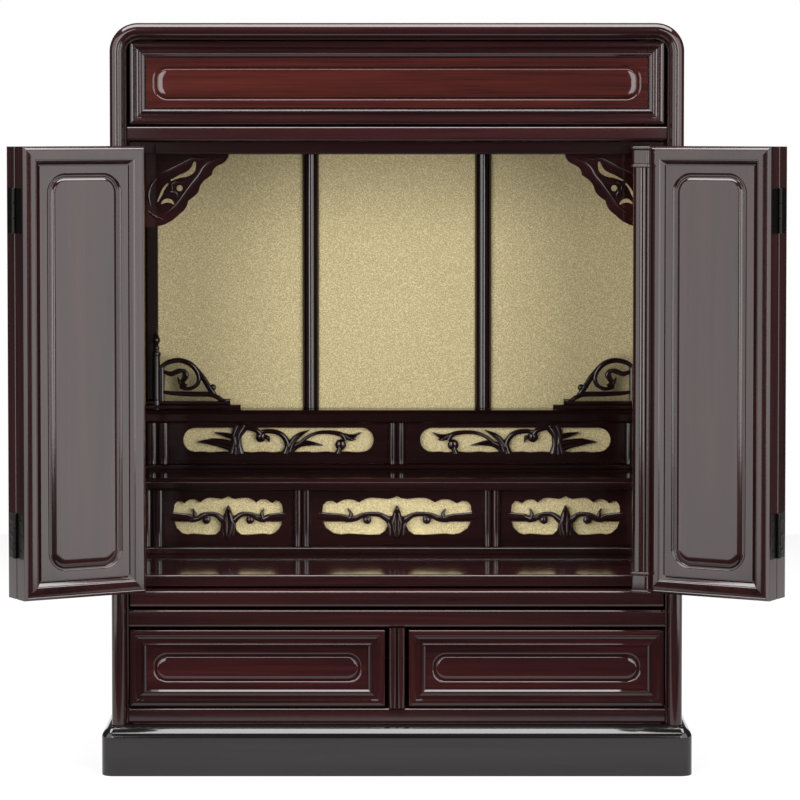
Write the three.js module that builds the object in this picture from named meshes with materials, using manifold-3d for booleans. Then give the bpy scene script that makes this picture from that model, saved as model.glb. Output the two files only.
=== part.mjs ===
// Household altar cabinet: a moulded case on a plinth with folding doors, a stepped dais with pierced
// carvings in front of gold boards, a pull-out tray and two drawers.
// Millimetres. X to the right, Y to the back, Z up. Y = 0 is the plane of the rails, the drawer fronts
// and the closed doors. The doors are built closed and then turned to their open, folded rest.
import * as THREE from 'three';
import { mergeVertices } from 'three/addons/utils/BufferGeometryUtils.js';
import Module from 'manifold-3d';

const wasm = await Module();
wasm.setup();

// Sizes of the case
const seam = 0.3;
const caseWidth = 461;
const caseDepth = 275;
const wall = 11.5;
const cornerRadius = 23;
const bullnoseProud = 8;
const shellSetback = 2;
const liningThickness = 2;
const liningDepth = 15;
const liningFront = -0.5;
const backBoardThickness = 5;
const backBoardRebate = 3;

// Sizes of the plinth
const plinthHeight = 39.5;
const plinthSideOverhang = 7.7;
const plinthFrontOverhang = 18;
const plinthCornerRadius = 10;
const plinthEdgeRadius = 3.5;
const plinthWall = 24;

// Heights of what stands on the plinth, from the bottom up
const bottomRailHeight = 12.6;
const drawerGapBelow = 1.1;
const drawerHeight = 62.3;
const drawerGapAbove = 2.3;
const middleRailHeight = 14.3;
const trayGapBelow = 1.9;
const trayHeight = 13.8;
const trayGapAbove = 0.5;
const altarFloorThickness = 10.2;
const altarFloorEdge = 2;
const altarHeight = 342.2;
const lintelHeight = 10;
const topRailHeight = 11.9;
const fasciaGapBelow = 1.5;
const fasciaHeight = 66.7;
const fasciaGapAbove = 1.1;

// Depths and thicknesses behind the front plane
const railDepth = 14;
const railRound = 2.5;
const doorStop = 17;
const lintelDepth = 12;
const ceilingThickness = 9;
const dustBoardThickness = 7;
const fasciaGapSide = 2;
const fasciaFrameWidth = 13;
const fasciaGrooveInset = 7.3;
const fasciaGrooveRadius = 10;

// Sizes of the drawers and the tray
const drawerPostWidth = 13.2;
const drawerPostProud = 3;
const drawerDividerWidth = 10;
const drawerGapSide = 0.5;
const drawerPostGap = 2.9;
const drawerFrameWidth = 14.6;
const drawerGrooveInset = 6;
const drawerGrooveRadius = 10;
const drawerRoomBehind = 27.7;
const drawerSideThickness = 8;
const drawerBottomThickness = 5;
const drawerSideHeight = 50;
const drawerBoxInset = 1;
const trayRoomBehind = 42;
const trayGapSide = 1.5;
const trayBoardThickness = 8;
const trayRound = 3;

// Sizes of the doors
const doorThickness = 16.5;
const doorGapBelow = 2.4;
const doorOverLintel = 6.5;
const jambGap = 0.8;
const foldGap = 1.6;
const meetingGap = 4;
const doorFrameWidth = 14.6;
const doorFrameRound = 1.5;
const doorGrooveInset = 8.5;
const doorGrooveRadius = 13;
const doorOpenAngle = 150;
const doorFoldAngle = 180;

// Sizes of the mouldings that the frames and panels share
const frameBead = 4;
const frameDrop = 3;
const frameRound = 6;
const frameDepth = 14;
const panelThickness = 8;
const panelSetback = 2.4;
const grooveWidth = 4.6;
const grooveDepth = 1.6;

// Sizes of the hinges
const hingeLength = 35.5;
const hingeEndDistance = 32.5;
const plateThickness = 0.7;
const plateReach = 12.5;
const jambPinForward = 2.5;
const jambPinRadius = 1.5;
const foldPinBack = 0.8;
const foldPinRadius = 2;

// Sizes of the meeting strip
const stripWidth = 15.5;
const stripOverhang = 12;
const stripProud = 5.2;
const stripClearance = 0.4;
const stripCapHeight = 17;
const stripCapExtra = 0.6;

// Sizes of the altar room: the floor, two steps and the gold back
const lowerStepRise = 65;
const upperStepRise = 51.6;
const lowerStepThickness = 10.6;
const upperStepThickness = 11.3;
const nosingProud = 8;
const riserBaseProud = 5;
const lowerTread = 76;
const upperTread = 11;
const lowerBaseHeight = 6;
const upperBaseHeight = 4;
const carvingThickness = 4;
const carvingSink = 0.6;
const goldBoardGap = 2;
const goldBoardThickness = 3;
const riserPostDepth = 7;
const endPostWidth = 20;
const lowerDividerX = 81;
const lowerDividerWidth = 15;
const upperDividerWidth = 15.5;
const backFrameDepth = 8.5;
const backVoid = 9.7;
const headRailHeight = 13.5;
const headRailSetback = 1;
const backPostX = 75.4;
const backPostWidth = 14.5;
const cornerPostWidth = 10;
const goldPanelThickness = 3.5;

// Sizes of the carvings. The free forms are drawn as shares of their own width or height.
const cloudMarginCentre = 9.7;
const cloudMarginSide = 8.5;
const cloudHeight = 33;
const cloudMiddle = 31.9;
const vineMargin = 12.2;
const vineOpeningHeight = 21;
const vineOpeningMiddle = 25.1;
const spandrelY = 30;
const spandrelThickness = 6;
const spandrelReach = 80;
const railSetback = 5;
const railThickness = 5;
const railBaseLength = 81;
const railBaseHeight = 7.3;
const railBaseDepth = 10;
const railBaseProud = 2;
const newelX = 7.5;
const newelRadius = 3.4;
const newelHeight = 71;

// Places worked out from the sizes
const caseHalf = caseWidth / 2;
const shellHalf = caseHalf - wall;
const openingHalf = shellHalf - liningThickness;
const caseBottom = plinthHeight + seam;
const floorTop = caseBottom + bottomRailHeight;
const drawerBottom = floorTop + drawerGapBelow;
const drawerTop = drawerBottom + drawerHeight;
const middleRailBottom = drawerTop + drawerGapAbove;
const middleRailTop = middleRailBottom + middleRailHeight;
const trayBottom = middleRailTop + trayGapBelow;
const trayTop = trayBottom + trayHeight;
const altarFloorBottom = trayTop + trayGapAbove;
const altarFloorTop = altarFloorBottom + altarFloorThickness;
const lintelBottom = altarFloorTop + altarHeight;
const lintelTop = lintelBottom + lintelHeight;
const topRailBottom = lintelTop + seam;
const topRailTop = topRailBottom + topRailHeight;
const fasciaBottom = topRailTop + fasciaGapBelow;
const fasciaTop = fasciaBottom + fasciaHeight;
const caseTop = fasciaTop + fasciaGapAbove + liningThickness + wall;
const railHalf = openingHalf - seam;
const boardHalf = shellHalf - seam;
const doorBottom = altarFloorBottom + doorGapBelow;
const doorTop = lintelBottom + doorOverLintel;
const doorMiddle = (doorBottom + doorTop) / 2;
const doorHalfHeight = (doorTop - doorBottom) / 2;
const leafWidth = (openingHalf - jambGap - foldGap - meetingGap / 2) / 2;
const outerLeafEdge = openingHalf - jambGap;
const innerLeafEdge = outerLeafEdge - leafWidth - foldGap;
const foldPinX = innerLeafEdge + foldGap / 2;
const foldPinY = doorThickness + foldPinBack;
const lowerStepTop = altarFloorTop + lowerStepRise;
const upperStepTop = lowerStepTop + upperStepRise;
const backBoardFront = caseDepth - backBoardRebate - backBoardThickness;
const goldPanelFront = backBoardFront - backVoid - goldPanelThickness;
const boardsReach = goldPanelFront - seam;
const backFrameY = boardsReach - backFrameDepth;
const upperRiserY = backFrameY - upperTread;
const lowerRiserY = upperRiserY - lowerTread;
const railY = upperRiserY - nosingProud + railSetback;

// Materials
function paint(color, roughness, metalness = 0) {
  return new THREE.MeshStandardMaterial({ color, roughness, metalness });
}
const lacquer = paint(0x2a1416, 0.22);
const rosewood = paint(0x4a1a17, 0.25);
const gold = paint(0xc7b786, 0.45, 0.6);
const steel = paint(0x4a4642, 0.35, 1);

// A closed geometry as a solid that can be joined and cut, its faces pointing out.
function solid(geometry) {
  geometry.deleteAttribute('normal');
  geometry.deleteAttribute('uv');
  const merged = mergeVertices(geometry);
  const vertProperties = new Float32Array(merged.attributes.position.array);
  const triVerts = new Uint32Array(merged.index.array);
  const shape = new wasm.Manifold(new wasm.Mesh({ numProp: 3, vertProperties, triVerts }));
  if (shape.volume() > 0) return shape;
  return new wasm.Manifold(new wasm.Mesh({ numProp: 3, vertProperties, triVerts: triVerts.reverse() }));
}

function join(...solids) {
  return solids.reduce((whole, next) => whole.add(next));
}

function cut(whole, ...tools) {
  return tools.reduce((rest, tool) => rest.subtract(tool), whole);
}

// A solid as a named mesh in a group.
function place(group, name, shape, material) {
  const mesh = shape.getMesh();
  const geometry = new THREE.BufferGeometry();
  geometry.setAttribute('position', new THREE.BufferAttribute(mesh.vertProperties, 3));
  geometry.setIndex(new THREE.BufferAttribute(mesh.triVerts, 1));
  geometry.computeVertexNormals();
  const node = new THREE.Mesh(geometry, material);
  node.name = name;
  group.add(node);
}

// A box between two X, two Y and two Z places, in either order.
function block(x, y, z) {
  const size = [x, y, z].map(([from, to]) => Math.abs(to - from));
  const middle = [x, y, z].map(([from, to]) => (from + to) / 2);
  return solid(new THREE.BoxGeometry(...size).translate(...middle));
}

function outline(points) {
  return new THREE.Shape(points.map(([x, z]) => new THREE.Vector2(x, z)));
}

// An outline in the XZ plane made into a board that starts at the depth given.
function board(shape, front, depth, curveSegments = 5) {
  const geometry = new THREE.ExtrudeGeometry(shape, { depth, bevelEnabled: false, curveSegments });
  return solid(geometry.rotateX(Math.PI / 2).translate(0, front + depth, 0));
}

// An outline of Y and Z places made into a rail between two X places.
function rail(points, fromX, toX) {
  const depth = Math.abs(toX - fromX);
  const geometry = new THREE.ExtrudeGeometry(outline(points), { depth, bevelEnabled: false });
  const turn = new THREE.Matrix4().makeBasis(
    new THREE.Vector3(0, 1, 0), new THREE.Vector3(0, 0, 1), new THREE.Vector3(1, 0, 0));
  return solid(geometry.applyMatrix4(turn).translate(Math.min(fromX, toX), 0, 0));
}

// An outline of X and Y places made into a post between two Z places.
function post(points, bottom, top) {
  const geometry = new THREE.ExtrudeGeometry(outline(points), { depth: top - bottom, bevelEnabled: false });
  return solid(geometry.translate(0, 0, bottom));
}

// Points on an arc round a centre, angles in degrees.
function arc(centreX, centreY, radius, from, to, steps = 4) {
  return Array.from({ length: steps + 1 }, (_, i) => {
    const angle = THREE.MathUtils.degToRad(from + (to - from) * i / steps);
    return [centreX + radius * Math.cos(angle), centreY + radius * Math.sin(angle)];
  });
}

// A moulding run round a rectangle in the XZ plane. The section is a closed list of
// [inset from the outside, depth along Y]. The corners are mitred, or round with the radius given:
// a lathe of four sides, or of more, whose corners are pulled apart.
function ring(section, halfWidth, halfHeight, middle, radius = 0, steps = 1) {
  const reach = radius || Math.max(...section.map(([inset]) => inset)) + 1;
  const halfStep = Math.PI / (4 * steps);
  const closed = [...section, section[0]];
  const points = closed.map(([inset, y]) => new THREE.Vector2((reach - inset) / Math.cos(halfStep), y));
  const geometry = new THREE.LatheGeometry(points, 4 * steps, halfStep);
  const position = geometry.attributes.position;
  for (let i = 0; i < position.count; i++) {
    position.setX(i, position.getX(i) + Math.sign(position.getX(i)) * (halfWidth - reach));
    position.setZ(i, position.getZ(i) + Math.sign(position.getZ(i)) * (halfHeight - reach));
  }
  return solid(geometry.translate(middle[0], 0, middle[1]));
}

// The section of a mitred frame: rounded outer edge, flat, and a bead that steps down to the panel.
function frameSection(width, depth, round) {
  return [
    [0, depth],
    ...arc(round, round, round, 180, 270, 3),
    [width - frameBead, 0],
    [width - frameBead * 0.9, frameDrop * 0.35],
    [width - frameBead * 0.35, frameDrop * 0.45],
    [width, frameDrop],
    [width, depth],
  ];
}

// A panel in the XZ plane with a round-cornered groove round its raised field.
function groovedPanel(halfWidth, halfHeight, middle, front, thickness, grooveInset, radius) {
  const [x, z] = middle;
  const groove = arc(grooveWidth / 2, front - 0.5, grooveWidth / 2, 180, 0, 4)
    .map(([inset, y]) => [inset, front + (y - front) * grooveDepth / (grooveWidth / 2)]);
  const panel = block([x - halfWidth, x + halfWidth], [front, front + thickness],
    [z - halfHeight, z + halfHeight]);
  return cut(panel, ring(groove, halfWidth - grooveInset, halfHeight - grooveInset, middle, radius, 4));
}

// A stem or leaf: an outline that follows a curve and swells or tapers with the widths given.
function stem(points, widths, steps = 10) {
  const curve = new THREE.SplineCurve(points.map(([x, z]) => new THREE.Vector2(x, z)));
  const left = [];
  const right = [];
  for (let i = 0; i <= steps; i++) {
    const t = i / steps;
    const along = t * (widths.length - 1);
    const from = Math.min(Math.floor(along), widths.length - 2);
    const half = THREE.MathUtils.lerp(widths[from], widths[from + 1], along - from) / 2;
    const { x, y } = curve.getPoint(t);
    const way = curve.getTangent(t);
    left.push([x - way.y * half, y + way.x * half]);
    right.unshift([x + way.y * half, y - way.x * half]);
  }
  return outline([...left, ...right]);
}

function disc(x, z, radius) {
  return outline(arc(x, z, radius, 0, 330, 11));
}

// Plinth: a mitred base with round corners and a rounded top edge, open underneath.
function plinth() {
  const half = caseHalf + plinthSideOverhang;
  const corner = plinthCornerRadius;
  const shape = outline([
    ...arc(half - corner, corner - plinthFrontOverhang, corner, 270, 360),
    ...arc(half - corner, caseDepth - corner, corner, 0, 90),
    ...arc(corner - half, caseDepth - corner, corner, 90, 180),
    ...arc(corner - half, corner - plinthFrontOverhang, corner, 180, 270),
  ]);
  const edge = plinthEdgeRadius;
  const outer = solid(new THREE.ExtrudeGeometry(shape, {
    depth: plinthHeight - edge, bevelThickness: edge, bevelSize: edge, bevelOffset: -edge, bevelSegments: 3,
  }));
  const inside = block([plinthWall - half, half - plinthWall],
    [plinthWall - plinthFrontOverhang, caseDepth - plinthWall], [-edge * 2, plinthHeight + 1]);
  const below = block([-half - 1, half + 1], [-plinthFrontOverhang - 1, caseDepth + 1], [-edge * 2, 0]);
  return cut(outer, inside, below);
}

// The outline of the case: square below, with round upper corners.
function hoop(half, bottom, top, radius) {
  return outline([
    [-half, bottom], [half, bottom],
    ...arc(half - radius, top - radius, radius, 0, 90, 6),
    ...arc(radius - half, top - radius, radius, 90, 180, 6),
  ]);
}

// Case shell: sides, round-cornered top and floor, with room at the front for the bottom rail.
function caseShell() {
  const shape = hoop(caseHalf, caseBottom, caseTop, cornerRadius);
  const inside = hoop(shellHalf, floorTop, caseTop - wall, cornerRadius - wall);
  const notchDepth = Math.max(railDepth, liningDepth) + seam;
  const notch = block([-shellHalf, shellHalf], [0, notchDepth], [0, floorTop + 1]);
  const depth = caseDepth - shellSetback;
  return cut(board(shape, shellSetback, depth), board(inside, 0, caseDepth + 1), notch);
}

// Front moulding: a bullnose on the front edges of the case, with a thin lining round the opening.
function frontMoulding() {
  const round = wall / 2;
  const back = shellSetback - seam;
  const section = [
    [0, back],
    ...arc(round, round - bullnoseProud, round, 180, 360, 8),
    [wall, liningFront],
    [wall + liningThickness, liningFront],
    [wall + liningThickness, liningDepth],
    [wall + seam, liningDepth],
    [wall + seam, back],
  ];
  const whole = ring(section, caseHalf, caseTop, [0, 0], cornerRadius, 6);
  const below = block([-caseHalf - 1, caseHalf + 1], [-bullnoseProud - 1, liningDepth + 1],
    [-caseTop - 1, caseBottom]);
  const pockets = [-1, 1].flatMap((side) => hingeHeights().map((middle) => platePocket(
    side * openingHalf, side, [liningFront - 1, plateReach], middle)));
  return cut(whole, below, ...pockets);
}

function backBoard() {
  const shape = hoop(boardHalf, floorTop + seam, caseTop - wall - seam, cornerRadius - wall - seam);
  return board(shape, backBoardFront, backBoardThickness);
}

// Fascia: a mitred frame and a grooved panel above the doors.
function fasciaFrame() {
  const section = frameSection(fasciaFrameWidth, frameDepth, frameRound);
  const middle = [0, (fasciaBottom + fasciaTop) / 2];
  const frame = ring(section, openingHalf - fasciaGapSide, fasciaHeight / 2, middle);
  const inset = wall + liningThickness + seam;
  const round = [[0, -1], [inset, -1], [inset, frameDepth + 1], [0, frameDepth + 1]];
  return cut(frame, ring(round, caseHalf, caseTop, [0, 0], cornerRadius, 6));
}

function fasciaPanel() {
  const inset = fasciaFrameWidth + seam;
  return groovedPanel(openingHalf - fasciaGapSide - inset, fasciaHeight / 2 - inset,
    [0, (fasciaBottom + fasciaTop) / 2], panelSetback, panelThickness,
    fasciaGrooveInset, fasciaGrooveRadius);
}

// A rail across the front with small round edges at the front.
function frontRail(halfWidth, depth, bottom, top, round = railRound) {
  return rail([
    [depth, bottom],
    ...arc(round, bottom + round, round, 270, 180, 3),
    ...arc(round, top - round, round, 180, 90, 3),
    [depth, top],
  ], -halfWidth, halfWidth);
}

function lintel() {
  return block([-boardHalf, boardHalf], [doorStop, doorStop + lintelDepth], [lintelBottom, lintelTop]);
}

function ceilingBoard() {
  return block([-boardHalf, boardHalf], [doorStop, boardsReach],
    [lintelTop + seam, lintelTop + seam + ceilingThickness]);
}

// Middle rail with the dust board behind it that carries the tray.
function middleRail() {
  const front = frontRail(railHalf, railDepth, middleRailBottom, middleRailTop);
  const dustBoard = block([-railHalf, railHalf], [railDepth - 1, boardsReach],
    [middleRailTop - dustBoardThickness, middleRailTop]);
  return join(front, dustBoard);
}

// Drawer post: two beads side by side, with the board behind that parts the drawers.
function drawerPost() {
  const half = drawerPostWidth / 2;
  const bead = half / 2;
  const beads = post([
    [-half, railDepth], [-half, bead - drawerPostProud],
    ...arc(-bead, bead - drawerPostProud, bead, 180, 360),
    ...arc(bead, bead - drawerPostProud, bead, 180, 360),
    [half, railDepth],
  ], floorTop + seam, middleRailBottom - seam);
  const divider = block([-drawerDividerWidth / 2, drawerDividerWidth / 2], [railDepth - 1, boardsReach],
    [floorTop + seam, middleRailBottom - seam]);
  return join(beads, divider);
}

function drawerSpan(side) {
  const inner = drawerPostWidth / 2 + drawerPostGap;
  const outer = openingHalf - drawerGapSide;
  return { middle: side * (inner + outer) / 2, half: (outer - inner) / 2 };
}

// Drawer front: a moulded frame and a grooved panel worked in one.
function drawerFront(side) {
  const { middle, half } = drawerSpan(side);
  const centre = [middle, (drawerBottom + drawerTop) / 2];
  const frame = ring(frameSection(drawerFrameWidth, frameDepth, frameRound), half, drawerHeight / 2, centre);
  const lap = drawerFrameWidth - 1;
  const panel = groovedPanel(half - lap, drawerHeight / 2 - lap, centre, frameDrop, panelThickness,
    drawerGrooveInset + 1, drawerGrooveRadius);
  return join(frame, panel);
}

// Drawer box: hollow and open on top, behind the front.
function drawerBox(side) {
  const { middle, half } = drawerSpan(side);
  const front = frameDepth + seam;
  const back = backBoardFront - drawerRoomBehind;
  const outerHalf = half - drawerBoxInset;
  const innerHalf = outerHalf - drawerSideThickness;
  const bottom = drawerBottom;
  const outer = block([middle - outerHalf, middle + outerHalf], [front, back],
    [bottom, bottom + drawerSideHeight]);
  const inside = block([middle - innerHalf, middle + innerHalf],
    [front + drawerSideThickness, back - drawerSideThickness],
    [bottom + drawerBottomThickness, bottom + drawerSideHeight + 1]);
  return cut(outer, inside);
}

// Pull-out tray: a board with a taller moulded front edge.
function tray() {
  const half = openingHalf - trayGapSide;
  const edge = frontRail(half, railDepth, trayBottom, trayTop, trayRound);
  const sheet = block([-half, half], [railDepth - 1, backBoardFront - trayRoomBehind],
    [trayBottom, trayBottom + trayBoardThickness]);
  return join(edge, sheet);
}

function altarFloor() {
  const edge = altarFloorEdge;
  const corner = arc(doorStop + edge, altarFloorTop - edge, edge, 180, 90, 3);
  return rail([[boardsReach, altarFloorBottom], [doorStop, altarFloorBottom], ...corner,
    [boardsReach, altarFloorTop]], -boardHalf, boardHalf);
}

// Step board: its front edge is a round nosing that stands proud of the riser below it.
function stepBoard(riserY, bottom, top) {
  const round = (top - bottom) / 2;
  const nosing = arc(riserY - nosingProud + round, bottom + round, round, 270, 90, 6);
  return rail([[boardsReach, bottom], ...nosing, [boardsReach, top]], -boardHalf, boardHalf);
}

// Riser frame: a base moulding with posts standing on it, each with a round face.
function riserFrame(baseHeight, riserY, bottom, top, posts) {
  const back = riserY + carvingThickness;
  const baseY = riserY - riserBaseProud;
  const round = baseHeight / 2;
  const foot = bottom + seam;
  const base = rail([
    [back, foot], [baseY, foot],
    ...arc(baseY + round, foot + baseHeight - round, round, 180, 90, 3),
    [back, foot + baseHeight],
  ], -boardHalf, boardHalf);
  const front = back - riserPostDepth;
  const uprights = posts.map(({ middle, width, beads }) => {
    const radius = width / 2 / beads;
    const faces = Array.from({ length: beads }, (_, i) => arc(
      middle + radius * (2 * i + 1 - beads), front + radius * 0.6, radius, 180, 360, 5)
      .map(([x, y]) => [x, front + (y - front) * 0.5]));
    return post([[middle - width / 2, back], ...faces.flat(), [middle + width / 2, back]], foot, top - seam);
  });
  return join(base, ...uprights);
}

// The board of a riser between two X places, with its opening and what is carved across it.
function carving(fromX, toX, riserY, bottom, top, opening, strokes) {
  const sheet = block([fromX, toX], [riserY, riserY + carvingThickness], [bottom, top]);
  const pierced = cut(sheet, board(opening, riserY - 1, carvingThickness + 2));
  const depth = carvingThickness - carvingSink * 2;
  const ornament = strokes.map((stroke) => board(stroke, riserY + carvingSink, depth));
  return join(pierced, ...ornament);
}

// Cloud carving: a scalloped opening with a branch and a leaf on a stem, alike on both sides.
// It is drawn 127 wide and 33 high round its middle, and stretched to the panel.
function cloudCarving(fromX, toX, margin) {
  const centre = (fromX + toX) / 2;
  const middle = altarFloorTop + cloudMiddle;
  const across = (Math.abs(toX - fromX) - 2 * margin) / 127;
  const upward = cloudHeight / 33;
  const at = (points) => points.map(([x, z]) => [centre + x * across, middle + z * upward]);
  const grow = (points, widths, steps) => stem(at(points), widths.map((width) => width * upward), steps);
  const half = (side) => at([
    [side * 1, 16.8], [side * 7, 15], [side * 15, 15.2], [side * 24, 15.4], [side * 32.6, 11.4],
    [side * 37, 13.8], [side * 42, 14.2], [side * 47, 13.2], [side * 51, 10.7], [side * 54.5, 12.8],
    [side * 58, 13], [side * 61.5, 11.5], [side * 63.5, 7], [side * 63.5, -6.5], [side * 59, -11],
    [side * 51, -15.3], [side * 38, -16], [side * 27, -15.4], [side * 14, -15.6], [side * 9.5, -13.5],
    [side * 8, -9], [side * 9.6, -3.6],
  ]);
  const opening = outline([...half(1), ...half(-1).reverse()]);
  const branch = (side) => {
    const mirrored = (points) => points.map(([x, z]) => [side * x, z]);
    return [
      grow(mirrored([[66, -0.8], [50, -1.2], [40, -3.2], [32, -1.2], [22, 1.2], [13, 0], [5, -4]]),
        [6, 5.4, 5, 5, 3.8, 3.8, 6], 12),
      grow(mirrored([[40.5, 6], [39, 0]]), [1.6, 4.6], 1),
      disc(...at([[side * 26, -3.4]])[0], 3.6 * upward),
    ];
  };
  const leaf = grow([[0, -18], [0, -6], [0, 9]], [15, 13, 0.8], 5);
  return carving(fromX, toX, lowerRiserY, altarFloorTop + seam * 2 + lowerBaseHeight,
    lowerStepTop - lowerStepThickness - seam, opening, [...branch(1), ...branch(-1), leaf]);
}

// Vine carving: a long round-ended opening with leaves and curls, mirrored on the other side.
// It is drawn 166 wide and 21 high round its middle, and stretched to the panel.
function vineCarving(side) {
  const inner = upperDividerWidth / 2 + seam;
  const outer = boardHalf - endPostWidth - seam;
  const centre = side * (inner + outer) / 2;
  const middle = lowerStepTop + vineOpeningMiddle;
  const half = (outer - inner) / 2 - vineMargin;
  const radius = vineOpeningHeight / 2;
  const opening = outline([
    ...arc(centre + half - radius, middle, radius, -90, 90, 8),
    ...arc(centre + radius - half, middle, radius, 90, 270, 8),
  ]);
  const across = half / 83;
  const upward = vineOpeningHeight / 21;
  const at = (points) => points.map(([x, z]) => [centre - side * x * across, middle + z * upward]);
  const grow = (points, widths, steps) => stem(at(points), widths.map((width) => width * upward), steps);
  const strokes = [
    grow([[-71, -2], [-58, -1.6], [-46, -3.5], [-38, -6]], [0.8, 6.5, 8, 8], 6),
    grow([[-55, 6], [-46, 3.8], [-37, 2]], [0.8, 4, 4.5], 4),
    grow([[-36, -12], [-36.5, 0], [-32, 12]], [16, 8, 13], 6),
    grow([[-34, 11], [-22, 9.4], [-12, 6], [6, 5.6]], [6, 3.6, 5, 4], 8),
    disc(...at([[-15.5, 2.4]])[0], 4.8 * upward),
    grow([[5, 7], [9, -2], [8.5, -12]], [4, 5, 8], 5),
    grow([[8, 2.5], [17, 4.5], [25, 7.6]], [5, 3.8, 0.8], 4),
    grow([[9, -3.5], [24, -2], [36, -4.6]], [6, 5.4, 0.8], 5),
    grow([[18, -1.5], [33, 4.4], [46, 5.6], [55, 3.6], [58.5, -2]], [4, 3.4, 3.8, 4.4, 4], 10),
    disc(...at([[54.5, -4.4]])[0], 5 * upward),
    grow([[50, 5.4], [61, 3.2], [71, 5.8]], [4, 5, 0.8], 4),
    grow([[57, 1.5], [65, -1]], [4.4, 0.8], 2),
  ];
  return carving(side * inner, side * outer, upperRiserY, lowerStepTop + seam * 2 + upperBaseHeight,
    upperStepTop - upperStepThickness - seam, opening, strokes);
}

function goldBoard(riserY, bottom, top) {
  const front = riserY + carvingThickness + goldBoardGap;
  return block([-boardHalf, boardHalf], [front, front + goldBoardThickness], [bottom + seam, top - seam]);
}

// Frame in front of the gold back panel: a head rail, two half-round posts and two corner posts.
function backFrame() {
  const foot = upperStepTop + seam;
  const back = boardsReach;
  const head = block([-boardHalf, boardHalf], [backFrameY + headRailSetback, back],
    [lintelTop - headRailHeight, lintelTop]);
  const round = (middle) => post([
    [middle - backPostWidth / 2, back],
    ...arc(middle, backFrameY + backPostWidth / 2, backPostWidth / 2, 180, 360, 8),
    [middle + backPostWidth / 2, back],
  ], foot, lintelTop);
  const corner = (side) => block([side * boardHalf, side * (boardHalf - cornerPostWidth)],
    [backFrameY, back], [foot, lintelTop]);
  return join(head, round(-backPostX), round(backPostX), corner(-1), corner(1));
}

function goldBackPanel() {
  return block([-boardHalf, boardHalf], [goldPanelFront, goldPanelFront + goldPanelThickness],
    [lowerStepTop + seam, lintelTop]);
}

// Spandrel: a carved corner piece under the lintel, drawn 80 wide from the wall inward and down.
function spandrel(side) {
  const share = spandrelReach / 80;
  const at = (points) => points.map(([x, z]) => [
    side * (openingHalf - x * share), lintelBottom - seam - z * share]);
  const grow = (points, widths, steps) => stem(at(points), widths.map((width) => width * share), steps);
  const wallX = side * boardHalf;
  const lobes = at([
    [79.5, 0], [79, 4.2], [76, 8.3], [67.5, 12.1], [67, 17.1], [64, 21.7], [56, 24.7], [54.8, 30.2],
    [51.5, 35.3], [45, 38.1], [43.8, 43.7], [40.5, 48.7], [33.5, 52.7], [29, 56.2], [23, 58.5], [14, 58.7],
    [0, 59.7],
  ]);
  const foot = lobes[lobes.length - 1][1];
  const sheet = board(outline([...lobes, [wallX, foot], [wallX, lintelBottom - seam]]),
    spandrelY, spandrelThickness);
  const holes = [
    grow([[52.5, 8.1], [50.4, 15.2], [45, 18.1], [38.5, 19.4], [32, 22.5]], [1.6, 4.2, 3.6, 2.4, 1.2], 8),
    grow([[30.6, 24.3], [27.6, 28.3], [25, 35.7]], [1.4, 2, 1.4], 5),
    grow([[35, 40.7], [30.5, 38.3], [26, 39.9]], [1.2, 3.4, 1.2], 4),
    disc(...at([[40.6, 27.5]])[0], 2.3 * share),
  ];
  return cut(sheet, ...holes.map((hole) => board(hole, spandrelY - 1, spandrelThickness + 2)));
}

// Newel: a turned post with rings, a bulb and a pointed end, drawn 71 high.
function newel(side, foot) {
  const share = newelHeight / 71;
  const profile = [
    [0, 0], [1.25, 0], [1.25, 8], [1, 9], [1, 47], [1.2, 48.4], [1, 49.8], [0.62, 52], [0.9, 53.6],
    [0.55, 55.4], [1.05, 59.6], [0.8, 63.4], [0.28, 67.4], [0, 71],
  ].map(([radius, height]) => new THREE.Vector2(radius * newelRadius, height * share));
  return solid(new THREE.LatheGeometry(profile, 10).rotateX(Math.PI / 2)
    .translate(side * (openingHalf - newelX), railY + railThickness / 2, foot));
}

// Scroll rail: a base, a newel and a pierced scroll, drawn on a base 81 long from the wall inward.
function scrollRail(side) {
  const foot = upperStepTop + seam;
  const share = railBaseLength / 81;
  const at = (points) => points.map(([x, z]) => [side * (openingHalf - x * share), foot + z * share]);
  const grow = (points, widths, steps) => stem(at(points), widths.map((width) => width * share), steps);
  const front = railY - railBaseProud;
  const base = block([side * boardHalf, side * (openingHalf - railBaseLength)],
    [front, front + railBaseDepth], [foot, foot + railBaseHeight]);
  const scroll = [
    grow([[12, 6], [12, 36.5]], [5, 5], 1),
    grow([[10, 35.4], [19, 41.4], [28.5, 42.8], [38.5, 39.2], [44, 31.5]], [3.6, 4, 4.2, 4.2, 3.8], 10),
    grow([[44, 32], [44, 25], [38, 19.2], [29, 19.6]], [3.8, 3.6, 3.4, 3], 7),
    grow([[13, 32.6], [23, 32.2], [31, 33.2], [33, 27.4], [30, 19.8]], [3.4, 4, 6, 5.6, 4], 8),
    grow([[42.5, 35], [49.5, 24.6], [57.5, 13]], [3.8, 4.4, 4.4], 5),
    disc(...at([[56.8, 18.6]])[0], 2.8 * share),
    grow([[11, 15.2], [27, 13.2], [52, 13], [67, 12.4]], [2.6, 3.6, 4, 3], 6),
    grow([[53, 13], [61, 9.4], [67, 7]], [3, 4, 3.6], 4),
  ];
  return join(base, newel(side, foot), ...scroll.map((stroke) => board(stroke, railY, railThickness)));
}

// Hinges
function hingeHeights() {
  const fromEnd = hingeEndDistance + hingeLength / 2;
  return [doorBottom + fromEnd, doorTop - fromEnd];
}

// The pocket for a hinge plate in a face at one X place; the material lies on the side given.
function platePocket(faceX, side, [fromY, toY], middle) {
  const half = hingeLength / 2 + seam;
  return block([faceX - side, faceX + side * (plateThickness + seam)], [fromY, toY + seam],
    [middle - half, middle + half]);
}

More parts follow.
